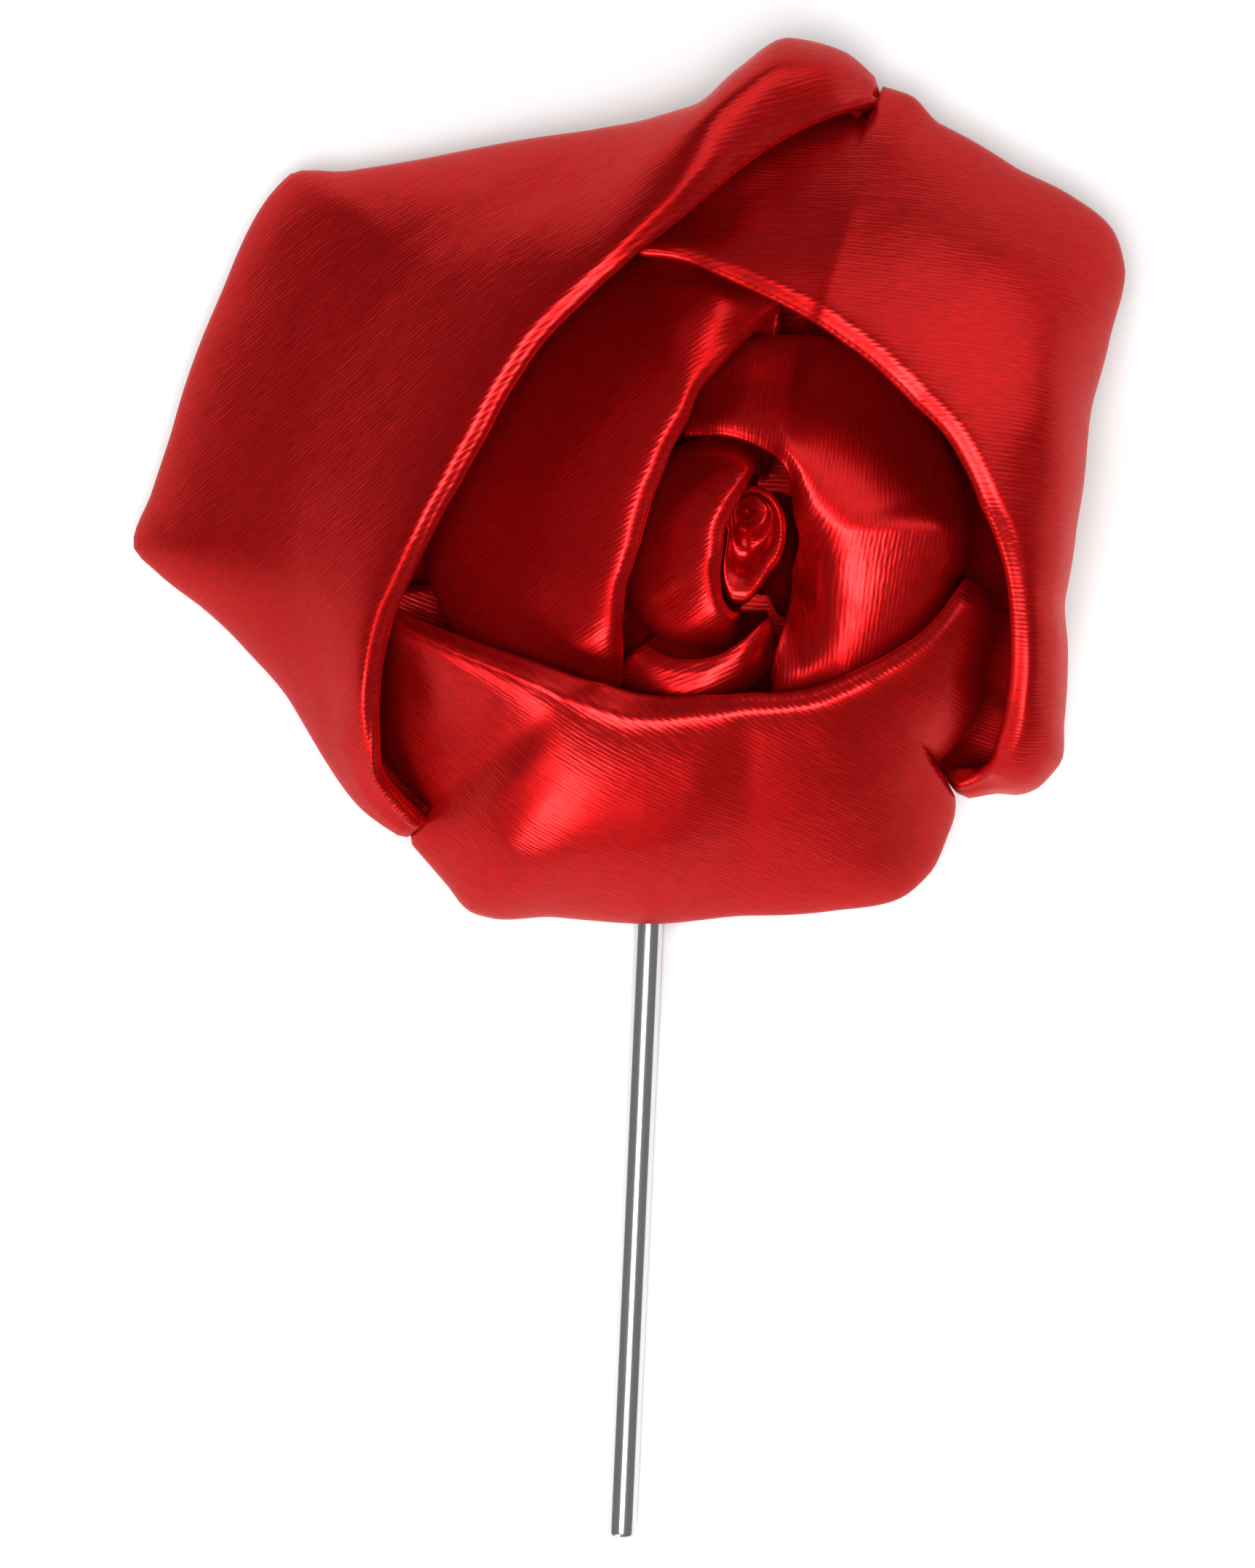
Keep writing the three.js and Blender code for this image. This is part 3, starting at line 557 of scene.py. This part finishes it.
OUTER_RIGHT = [
    [-49, 0.5, 0.47, 0.53, 0.45, 0.534, 0.41, 0.537, 0.35, 0],
    [-46, 0.515, 0.52, 0.55, 0.51, 0.558, 0.46, 0.564, 0.35, 0],
    [-43, 0.52, 0.58, 0.566, 0.59, 0.584, 0.52, 0.595, 0.355, 0],
    [-40, 0.508, 0.63, 0.558, 0.65, 0.593, 0.565, 0.606, 0.36, 0],
    [-36, 0.494, 0.685, 0.544, 0.71, 0.59, 0.605, 0.608, 0.37, 0],
    [-30, 0.47, 0.755, 0.52, 0.78, 0.558, 0.67, 0.575, 0.39, 0],
    [-19, 0.432, 0.84, 0.482, 0.865, 0.515, 0.75, 0.53, 0.42, 0],
    [-10, 0.408, 0.885, 0.458, 0.907, 0.489, 0.8, 0.504, 0.44, 0],
    [1, 0.38, 0.93, 0.434, 0.952, 0.49, 0.82, 0.513, 0.45, 0],
    [10, 0.36, 0.95, 0.414, 0.972, 0.5, 0.825, 0.536, 0.44, 0],
    [20, 0.35, 0.955, 0.404, 0.977, 0.52, 0.825, 0.574, 0.41, 0],
    [30, 0.342, 0.955, 0.396, 0.977, 0.554, 0.8, 0.668, 0.38, 0],
    [37, 0.334, 0.95, 0.388, 0.972, 0.59, 0.76, 0.756, 0.35, 0],
    [42, 0.33, 0.945, 0.384, 0.967, 0.606, 0.745, 0.778, 0.34, 0],
    [48, 0.33, 0.945, 0.384, 0.967, 0.604, 0.745, 0.766, 0.345, 0],
    [56, 0.334, 0.94, 0.388, 0.962, 0.596, 0.74, 0.745, 0.36, 0],
    [66, 0.342, 0.93, 0.396, 0.952, 0.596, 0.73, 0.747, 0.37, 0],
    [71, 0.35, 0.925, 0.404, 0.947, 0.604, 0.715, 0.774, 0.36, 0],
    [74.4, 0.356, 0.92, 0.41, 0.942, 0.606, 0.71, 0.774, 0.355, 0],
    [75.3, 0.358, 1.015, 0.414, 1.037, 0.606, 0.8, 0.772, 0.41, 1],
    [80, 0.367, 1.005, 0.42, 1.027, 0.604, 0.785, 0.786, 0.395, 1],
    [86, 0.382, 0.99, 0.434, 1.012, 0.582, 0.8, 0.796, 0.43, 1],
    [92, 0.402, 0.97, 0.452, 0.992, 0.556, 0.83, 0.745, 0.52, 1],
    [98, 0.426, 0.95, 0.472, 0.967, 0.534, 0.85, 0.703, 0.58, 1],
    [104, 0.458, 0.92, 0.5, 0.935, 0.542, 0.84, 0.7, 0.54, 1],
    [111, 0.492, 0.89, 0.534, 0.895, 0.566, 0.82, 0.712, 0.49, 1],
]

# %% Outer fold, bottom
OUTER_BOTTOM = [
    [188, 0.62, 0.74, 0.664, 0.74, 0.7, 0.67, 0.83, 0.26, 1],
    [191, 0.58, 0.81, 0.624, 0.83, 0.684, 0.69, 0.81, 0.27, 1],
    [199, 0.488, 0.885, 0.546, 0.93, 0.63, 0.745, 0.774, 0.32, 1],
    [207, 0.418, 0.92, 0.48, 0.965, 0.596, 0.76, 0.765, 0.345, 1],
    [213, 0.382, 0.935, 0.447, 0.98, 0.58, 0.76, 0.76, 0.37, 1],
    [219.8, 0.352, 0.94, 0.422, 0.985, 0.578, 0.762, 0.746, 0.392, 1],
    [220.7, 0.348, 0.84, 0.418, 0.887, 0.58, 0.665, 0.742, 0.355, 0],
    [224, 0.334, 0.845, 0.406, 0.892, 0.6, 0.67, 0.743, 0.34, 0],
    [228, 0.322, 0.845, 0.394, 0.895, 0.625, 0.655, 0.747, 0.32, 0],
    [232, 0.312, 0.845, 0.384, 0.895, 0.64, 0.645, 0.757, 0.3, 0],
    [235, 0.304, 0.845, 0.374, 0.895, 0.63, 0.65, 0.745, 0.3, 0],
    [242, 0.286, 0.85, 0.35, 0.897, 0.575, 0.68, 0.689, 0.31, 0],
    [254, 0.26, 0.86, 0.316, 0.899, 0.52, 0.69, 0.645, 0.33, 0],
    [270, 0.246, 0.872, 0.298, 0.9, 0.471, 0.67, 0.607, 0.345, 0],
    [282, 0.25, 0.874, 0.3, 0.9, 0.473, 0.665, 0.613, 0.345, 0],
    [292, 0.256, 0.874, 0.306, 0.9, 0.481, 0.655, 0.627, 0.34, 0],
    [298, 0.258, 0.872, 0.308, 0.897, 0.475, 0.65, 0.611, 0.34, 0],
    [303, 0.261, 0.87, 0.311, 0.895, 0.456, 0.665, 0.577, 0.345, 0],
    [308.4, 0.265, 0.868, 0.315, 0.893, 0.432, 0.7, 0.53, 0.38, 0],
    [310, 0.267, 0.966, 0.316, 0.99, 0.42, 0.81, 0.53, 0.4, 1],
    [320, 0.282, 0.955, 0.328, 0.98, 0.408, 0.85, 0.53, 0.47, 1],
    [332, 0.306, 0.935, 0.348, 0.96, 0.392, 0.865, 0.49, 0.56, 1],
    [342, 0.324, 0.905, 0.362, 0.928, 0.392, 0.868, 0.476, 0.58, 1],
    [349, 0.334, 0.872, 0.376, 0.888, 0.404, 0.845, 0.474, 0.56, 1],
]

# %% Middle folds
MIDDLE_LEFT = [
    [83, 0.372, 0.93, 0.402, 0.95, 0.43, 0.89, 0.46, 0.6, 2],
    [92, 0.324, 0.985, 0.356, 1.0, 0.396, 0.985, 0.49, 0.58, 2],
    [101, 0.284, 1.035, 0.32, 1.052, 0.388, 1.03, 0.5, 0.56, 2],
    [110, 0.256, 1.05, 0.292, 1.072, 0.384, 1.01, 0.5, 0.55, 2],
    [120, 0.218, 1.058, 0.256, 1.082, 0.38, 0.95, 0.5, 0.54, 2],
    [130, 0.2, 1.062, 0.238, 1.086, 0.376, 0.94, 0.51, 0.53, 2],
    [150, 0.178, 1.066, 0.216, 1.09, 0.372, 0.93, 0.52, 0.52, 2],
    [165, 0.176, 1.066, 0.214, 1.09, 0.376, 0.93, 0.53, 0.52, 2],
    [180, 0.182, 1.066, 0.22, 1.09, 0.386, 0.92, 0.54, 0.52, 2],
    [192, 0.2, 1.062, 0.238, 1.086, 0.39, 0.92, 0.52, 0.52, 2],
    [200, 0.22, 1.052, 0.258, 1.076, 0.384, 0.92, 0.5, 0.53, 2],
    [210, 0.244, 1.03, 0.28, 1.052, 0.37, 0.93, 0.46, 0.54, 2],
    [220, 0.276, 0.97, 0.308, 0.99, 0.36, 0.91, 0.42, 0.56, 2],
    [228, 0.316, 0.91, 0.344, 0.915, 0.366, 0.87, 0.4, 0.57, 2],
]

MIDDLE_RIGHT = [
    [-84, 0.224, 0.93, 0.26, 0.95, 0.288, 0.89, 0.32, 0.64, 2],
    [-79, 0.178, 0.955, 0.24, 0.98, 0.284, 0.91, 0.32, 0.64, 2],
    [-68, 0.134, 0.91, 0.236, 1.0, 0.276, 0.94, 0.316, 0.64, 2],
    [-54, 0.1, 0.91, 0.212, 1.02, 0.27, 0.998, 0.322, 0.65, 2],
    [-40, 0.078, 0.93, 0.176, 1.035, 0.276, 1.002, 0.328, 0.65, 2],
    [-29, 0.072, 0.945, 0.158, 1.045, 0.284, 1.005, 0.33, 0.66, 2],
    [-16, 0.07, 0.955, 0.146, 1.05, 0.296, 1.002, 0.33, 0.68, 2],
    [-10, 0.07, 0.96, 0.142, 1.052, 0.302, 1.0, 0.334, 0.7, 2],
    [-5, 0.07, 0.965, 0.138, 1.054, 0.314, 1.0, 0.342, 0.72, 2],
    [3, 0.07, 0.97, 0.132, 1.056, 0.318, 1.005, 0.346, 0.73, 2],
    [15, 0.07, 0.98, 0.126, 1.06, 0.284, 0.965, 0.346, 0.66, 2],
    [31, 0.072, 0.99, 0.12, 1.06, 0.26, 0.945, 0.35, 0.59, 2],
    [48, 0.088, 1.0, 0.13, 1.06, 0.246, 0.945, 0.35, 0.58, 2],
    [61, 0.112, 1.02, 0.15, 1.06, 0.246, 0.93, 0.352, 0.56, 2],
    [71, 0.128, 1.03, 0.164, 1.055, 0.25, 0.91, 0.35, 0.58, 2],
    [79, 0.139, 1.095, 0.173, 1.12, 0.252, 1.007, 0.34, 0.62, 3],
    [91, 0.152, 1.08, 0.186, 1.1, 0.254, 1.01, 0.33, 0.64, 3],
    [107, 0.174, 1.06, 0.206, 1.075, 0.246, 0.99, 0.31, 0.63, 3],
    [118, 0.19, 1.02, 0.218, 1.03, 0.246, 0.97, 0.3, 0.62, 3],
    [124, 0.202, 1.0, 0.228, 1.005, 0.252, 0.96, 0.3, 0.64, 3],
]

# %% Inner folds
INNER_LEFT = [
    [86, 0.116, 1.08, 0.136, 1.08, 0.152, 1.03, 0.178, 0.64, 4],
    [93, 0.1, 1.165, 0.128, 1.175, 0.152, 1.08, 0.184, 0.65, 4],
    [100, 0.084, 1.205, 0.116, 1.22, 0.154, 1.12, 0.192, 0.66, 4],
    [110, 0.07, 1.22, 0.104, 1.245, 0.152, 1.14, 0.192, 0.64, 4],
    [120, 0.062, 1.225, 0.097, 1.25, 0.15, 1.15, 0.19, 0.64, 4],
    [129, 0.057, 1.228, 0.093, 1.252, 0.15, 1.15, 0.196, 0.65, 4],
    [138, 0.053, 1.156, 0.089, 1.18, 0.15, 1.08, 0.206, 0.65, 3],
    [150, 0.051, 1.157, 0.087, 1.18, 0.151, 1.085, 0.214, 0.66, 3],
    [180, 0.05, 1.157, 0.086, 1.18, 0.154, 1.09, 0.22, 0.66, 3],
    [200, 0.055, 1.155, 0.092, 1.178, 0.16, 1.085, 0.226, 0.66, 3],
    [208, 0.06, 1.15, 0.098, 1.173, 0.165, 1.08, 0.227, 0.66, 3],
    [216, 0.068, 1.22, 0.107, 1.245, 0.17, 1.15, 0.224, 0.67, 4],
    [232, 0.09, 1.205, 0.124, 1.23, 0.174, 1.15, 0.21, 0.68, 4],
    [243, 0.11, 1.19, 0.14, 1.21, 0.168, 1.145, 0.192, 0.69, 4],
    [253, 0.12, 1.165, 0.146, 1.18, 0.16, 1.13, 0.178, 0.7, 4],
    [259, 0.118, 1.135, 0.14, 1.14, 0.15, 1.1, 0.166, 0.7, 4],
]

INNER_BOTTOM = [
    [222, 0.244, 1.0, 0.277, 1.028, 0.295, 0.985, 0.319, 0.63, 3],
    [233, 0.234, 1.04, 0.27, 1.06, 0.293, 1.035, 0.318, 0.64, 3],
    [243, 0.216, 1.06, 0.256, 1.075, 0.286, 1.06, 0.314, 0.64, 3],
    [253, 0.192, 1.068, 0.232, 1.085, 0.266, 1.065, 0.296, 0.65, 3],
    [262, 0.164, 1.07, 0.204, 1.085, 0.238, 1.06, 0.268, 0.66, 3],
    [272, 0.138, 1.05, 0.172, 1.065, 0.2, 1.035, 0.226, 0.68, 3],
    [282, 0.122, 0.99, 0.148, 1.02, 0.164, 0.98, 0.188, 0.7, 3],
]

# %% [markdown]
# ## Dressing the folds
# Every fold is a piece of its own that stands for its solid. The thread angle is read off the
# photograph: the ribbon slants differently in each petal because it was turned at each fold.
# The outer folds lap over the small gaps that the solids keep, and the bottom fold's right end
# runs out to a point.

# The inner bottom fold is only 8.9 mm long and is declared as 10 mm, the shortest sheet there
# is.

# %% What each fold is made of
OUTER_SATIN, INNER_SATIN = 0.6, 0.4
NIPS = {OUTER_SATIN: 0.36, INNER_SATIN: 0.27}
LEFT, RIGHT, BOTTOM = "outer_fold_left", "outer_fold_right", "outer_fold_bottom"
# rows, wall in mm, thread angle, material, laps at both ends and point in degrees
FOLDS = {
    LEFT: (OUTER_LEFT, OUTER_SATIN, 35, outer_satin, (1.6, 1.6), 0),
    RIGHT: (OUTER_RIGHT, OUTER_SATIN, 0, outer_satin, (1.8, 1.5), 0),
    BOTTOM: (OUTER_BOTTOM, OUTER_SATIN, -30, outer_satin, (1.5, 1.0), 7),
    # The middle and inner folds take the satin painted lighter, against the shade among the
    # folds.
    "middle_fold_left": (MIDDLE_LEFT, INNER_SATIN, 35, inner_satin_painted_lighter, (0, 0), 0),
    "middle_fold_right": (MIDDLE_RIGHT, INNER_SATIN, 85, inner_satin_painted_lighter, (0, 0), 0),
    "inner_fold_left": (INNER_LEFT, INNER_SATIN, 40, inner_satin_painted_lighter, (0, 0), 0),
    "inner_fold_bottom": (INNER_BOTTOM, INNER_SATIN, 20, inner_satin_painted_lighter, (0, 0), 0),
}


# %% Make the folds
def dress(piece, node, material):
    """Gives the piece its finish, puts it on the root body and hides the solid it stands for."""
    piece.data.materials.append(material)
    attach(piece, "root")
    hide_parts(node)


for node, (rows, wall, angle, material, laps, point) in FOLDS.items():
    xyz, flat = fold_surface(rows, wall, NIPS[wall], laps, point)
    piece = grid_mesh(f"satin_{node}", xyz, flat, math.radians(angle))
    dress(piece, node, material)

# %% [markdown]
# ## The bud
# The ribbon starts as a tight roll. Only its top is seen: a small eye, the first curl round
# it, a groove, and the crest of the next turn. Below, the roll spreads out under the folds
# round it. A spiral sheet would be truer to the ribbon, but its turns touch, so the roll is one
# closed grid round the eye, with the turns as crests and grooves.
#
# Each row of its table is one turn angle and then, as shares of the petals' reach and the
# rose's height: outline out, top up, and body out.

# %% The bud's table
BUD_EYE_OUT, BUD_EYE_TURN, BUD_FLOOR = 0.0493, 105, 0.7
BUD_FOOT = 0.9
BUD_BODY_LEVEL = 0.36
BUD_BODY_SHARE = 0.85
CURL_SHARE, CURL_REACH = 0.55, 0.8
CURL_DROP, CURL_TILT = 0.35, 0.25
EYE_SHARE, EYE_DROP = 0.45, 1.3
GROOVE_SHARE, GROOVE_DROP = 0.4, 1.1
CREST_IN = 0.2
BUD = [
    [-131, 0.054, 0.82, 0.042],
    [-121, 0.074, 0.825, 0.043],
    [-113, 0.106, 0.83, 0.044],
    [-106, 0.134, 0.83, 0.044],
    [-99, 0.15, 0.83, 0.054],
    [-92, 0.15, 0.83, 0.08],
    [-84, 0.134, 0.84, 0.1],
    [-75, 0.115, 0.85, 0.103],
    [-70, 0.107, 0.855, 0.15],
    [-62, 0.1, 0.86, 0.156],
    [-46, 0.084, 0.87, 0.146],
    [-22, 0.066, 0.88, 0.13],
    [8, 0.053, 0.885, 0.124],
    [40, 0.045, 0.88, 0.116],
    [62, 0.042, 0.87, 0.1],
    [78, 0.04, 0.86, 0.06],
    [90, 0.038, 0.85, 0.04],
    [120, 0.034, 0.83, 0.036],
    [170, 0.034, 0.82, 0.036],
    [203, 0.042, 0.82, 0.04],
]


# %% The bud's surface
def bud_surface(steps=180, per_span=8):
    """Grid (turns, profile): from the eye's floor up over the first curl, down into the groove,
    up to the crest of the next turn of ribbon and down outside to the foot. The curl lies at a
    share of the outline's reach or at its own reach, whichever is less. Every profile point is
    (out, up, pull), and pull is how much of it moves with the eye, off the axis."""
    rows = np.array(BUD + [[BUD[0][0] + 360, *BUD[0][1:]]])
    turns = np.linspace(rows[0, 0], rows[-1, 0], steps + 1)[:-1]
    v = smooth_table(rows, turns)
    out, top = v[:, 0] * PETAL_REACH, v[:, 1] * ROSE_HEIGHT
    body = v[:, 2] * PETAL_REACH * BUD_BODY_SHARE
    a = np.radians(turns)
    way = np.stack([np.cos(a), np.sin(a)], axis=-1)
    eye_turn = math.radians(BUD_EYE_TURN)
    eye = np.array([math.cos(eye_turn), math.sin(eye_turn)]) * BUD_EYE_OUT * PETAL_REACH
    one = np.ones_like(out)
    neck = 0.6 * body + 0.4 * BUD_FOOT
    crest = out - CREST_IN
    curl = np.minimum(CURL_SHARE * out, CURL_REACH)
    groove = curl + GROOVE_SHARE * (crest - curl)
    hole = EYE_SHARE * curl
    curl_top = top - CURL_DROP + CURL_TILT * np.cos(a)
    profile = [
        (0 * out, BUD_FLOOR * ROSE_HEIGHT * one, one),
        (hole * 0.9, top - EYE_DROP, one),
        (hole, curl_top - 0.3, one),
        (curl, curl_top, one),
        (curl + 0.25 * (groove - curl), curl_top - 0.4, one),
        (groove, top - GROOVE_DROP, one),
        (groove + 0.5 * (crest - groove), top - 0.15, one),
        (crest, top, one),
        (out, top - 0.35, one),
        (out * 0.97, top * 0.82, one),
        (body, BUD_BODY_LEVEL * ROSE_HEIGHT * one, 0 * one),
        (neck, 0.72 * BUD_BODY_LEVEL * ROSE_HEIGHT * one, 0 * one),
        (BUD_FOOT * one, FOOT_LEVEL * one, 0 * one),
        (0 * out, FOOT_LEVEL * one, 0 * one),
    ]
    controls = np.stack([np.stack(row, axis=-1) for row in profile], axis=1)
    flat_line = smooth_line(controls[..., :2], per_span)
    t = np.linspace(0, len(profile) - 1, flat_line.shape[1])
    pull = np.interp(t, range(len(profile)), controls[0, :, 2])[None, :, None]
    xy = eye * pull + way[:, None, :] * flat_line[..., :1]
    c, s = math.cos(math.radians(ROSE_TURN)), math.sin(math.radians(ROSE_TURN))
    xy = xy @ np.array([[c, s], [-s, c]]) + np.array([ROSE_OFFSET, 0])
    return np.concatenate([xy, flat_line[..., 1:]], axis=-1)


# %% Mesh of the bud
def ring_mesh(name, xyz):
    """Wraps the grid round in its first direction. The first and last profile points of all
    turns fall together, so merging doubles makes each a pole. The threads are mapped from
    above, and half of the height is added so that steep sides keep their threads too."""
    count, along = xyz.shape[:2]
    i = np.arange(count)[:, None]
    k = np.arange(along - 1)[None, :]
    n = (i + 1) % count
    quads = np.stack(
        [i * along + k, i * along + k + 1, n * along + k + 1, n * along + k], axis=-1
    ).reshape(-1, 4)
    points = xyz.reshape(-1, 3)
    return close_up(name, xyz, quads, points[:, :2] + points[:, 2:] * 0.5)


# The bud takes the satin painted lighter, like the inner folds.
bud = ring_mesh("satin_bud_roll", bud_surface())
dress(bud, "bud_roll", inner_satin_painted_lighter)

# %% [markdown]
# ## The base of the rose
# The folds are glued on a round of the same ribbon that covers the pad, so that no steel shows
# between them. It is a thin turned disc with a soft edge, all but hidden.

# %% Round of ribbon on the pad
BASE_WIDTH = 18.1
BASE_EDGE = 0.15
BASE_UNDER, BASE_TOP = 1.27, 1.45


def turned_mesh(name, profile, axis, lift=0.0, sides=96):
    """A profile of (radius, along) points turned round an axis: radius cos a, radius sin a.
    Round Y, the axis lies at the height of the lift."""
    profile = np.array(profile)
    a = np.linspace(0, 2 * np.pi, sides, endpoint=False)[:, None]
    r, h = profile[:, 0][None, :], profile[:, 1][None, :] + 0 * a
    if axis == "Z":
        xyz = np.stack([r * np.cos(a), r * np.sin(a), h], axis=-1)
    else:
        xyz = np.stack([r * np.cos(a), h, r * np.sin(a) + lift], axis=-1)
    return ring_mesh(name, xyz)


base_profile = [
    (0, BASE_UNDER),
    (BASE_WIDTH / 2 - BASE_EDGE, BASE_UNDER),
    (BASE_WIDTH / 2, (BASE_UNDER + BASE_TOP) / 2),
    (BASE_WIDTH / 2 - BASE_EDGE, BASE_TOP),
    (0, BASE_TOP),
]
# The round takes the satin painted lighter too.
base = turned_mesh("satin_base", base_profile, "Z")
dress(base, "bud_roll", inner_satin_painted_lighter)

# %% [markdown]
# ## The stick
# A drawn steel wire, polished bright, with a blunt end, soldered to a round pad. The solid is
# already the right shape; a lathed wire and pad with soft edges stand for it, because a wire
# with few flat sides would break up its long straight reflections. Drawing leaves fine lines
# along the wire, which are kept faint: a tenth of a millimetre apart and some 8 mm long.

# %% Polished steel
LINES_PER_METRE = (9000, 120, 9000)
LINE_DEPTH = 0.01 * MM


def polished_steel():
    """Steel's pale grey, fully metallic. The drawn lines change its roughness and its bump."""
    material, tree = new_material("polished drawn steel")
    place = add(tree, "ShaderNodeTexCoord")
    lines = add(
        tree,
        "ShaderNodeMapping",
        {"Scale": LINES_PER_METRE},
        Vector=place.outputs["Object"],
    )
    drawn = add(
        tree, "ShaderNodeTexNoise", {"Scale": 1.0, "Detail": 3.0}, Vector=lines.outputs[0]
    )
    rough = add(
        tree, "ShaderNodeMapRange", {"To Min": 0.12, "To Max": 0.24}, Value=drawn.outputs[0]
    )
    bump = add(
        tree,
        "ShaderNodeBump",
        {"Strength": 0.08, "Distance": LINE_DEPTH},
        Height=drawn.outputs[0],
    )
    metal = add(
        tree,
        "ShaderNodeBsdfPrincipled",
        {"Base Color": linear("#D6D8DA"), "Metallic": 1.0},
        Roughness=rough.outputs[0],
        Normal=bump.outputs[0],
    )
    add(tree, "ShaderNodeOutputMaterial", Surface=metal.outputs[0])
    return material


steel = polished_steel()
print("steel:", steel.name)

# %% Wire and pad
WIRE_RADIUS = 0.6
STICK_END = -41.1
STRAIGHT_FROM, STRAIGHT_TO, STATIONS = -40.5, -6.6, 40
PAD_RADIUS = 9.5
PAD_THICKNESS = 1.25
EDGE = 0.2

quarter = np.linspace(0, np.pi / 2, 7)
wire_profile = [(0, STICK_END)]
wire_profile += [
    (WIRE_RADIUS - EDGE + EDGE * math.sin(q), STICK_END + EDGE - EDGE * math.cos(q))
    for q in quarter
]
wire_profile += [(WIRE_RADIUS, y) for y in np.linspace(STRAIGHT_FROM, STRAIGHT_TO, STATIONS)]
wire_profile += [(0, STRAIGHT_TO)]
pad_profile = [(0, 0)]
pad_profile += [
    (PAD_RADIUS - EDGE + EDGE * math.sin(q), EDGE - EDGE * math.cos(q)) for q in quarter
]
pad_profile += [
    (PAD_RADIUS - EDGE + EDGE * math.cos(q), PAD_THICKNESS - EDGE + EDGE * math.sin(q))
    for q in quarter
]
pad_profile += [(0, PAD_THICKNESS)]
wire = turned_mesh("steel_wire", wire_profile, "Y", lift=WIRE_RADIUS)
pad = turned_mesh("steel_pad", pad_profile, "Z")
dress(wire, "stick_pin", steel)
dress(pad, "stick_pin", steel)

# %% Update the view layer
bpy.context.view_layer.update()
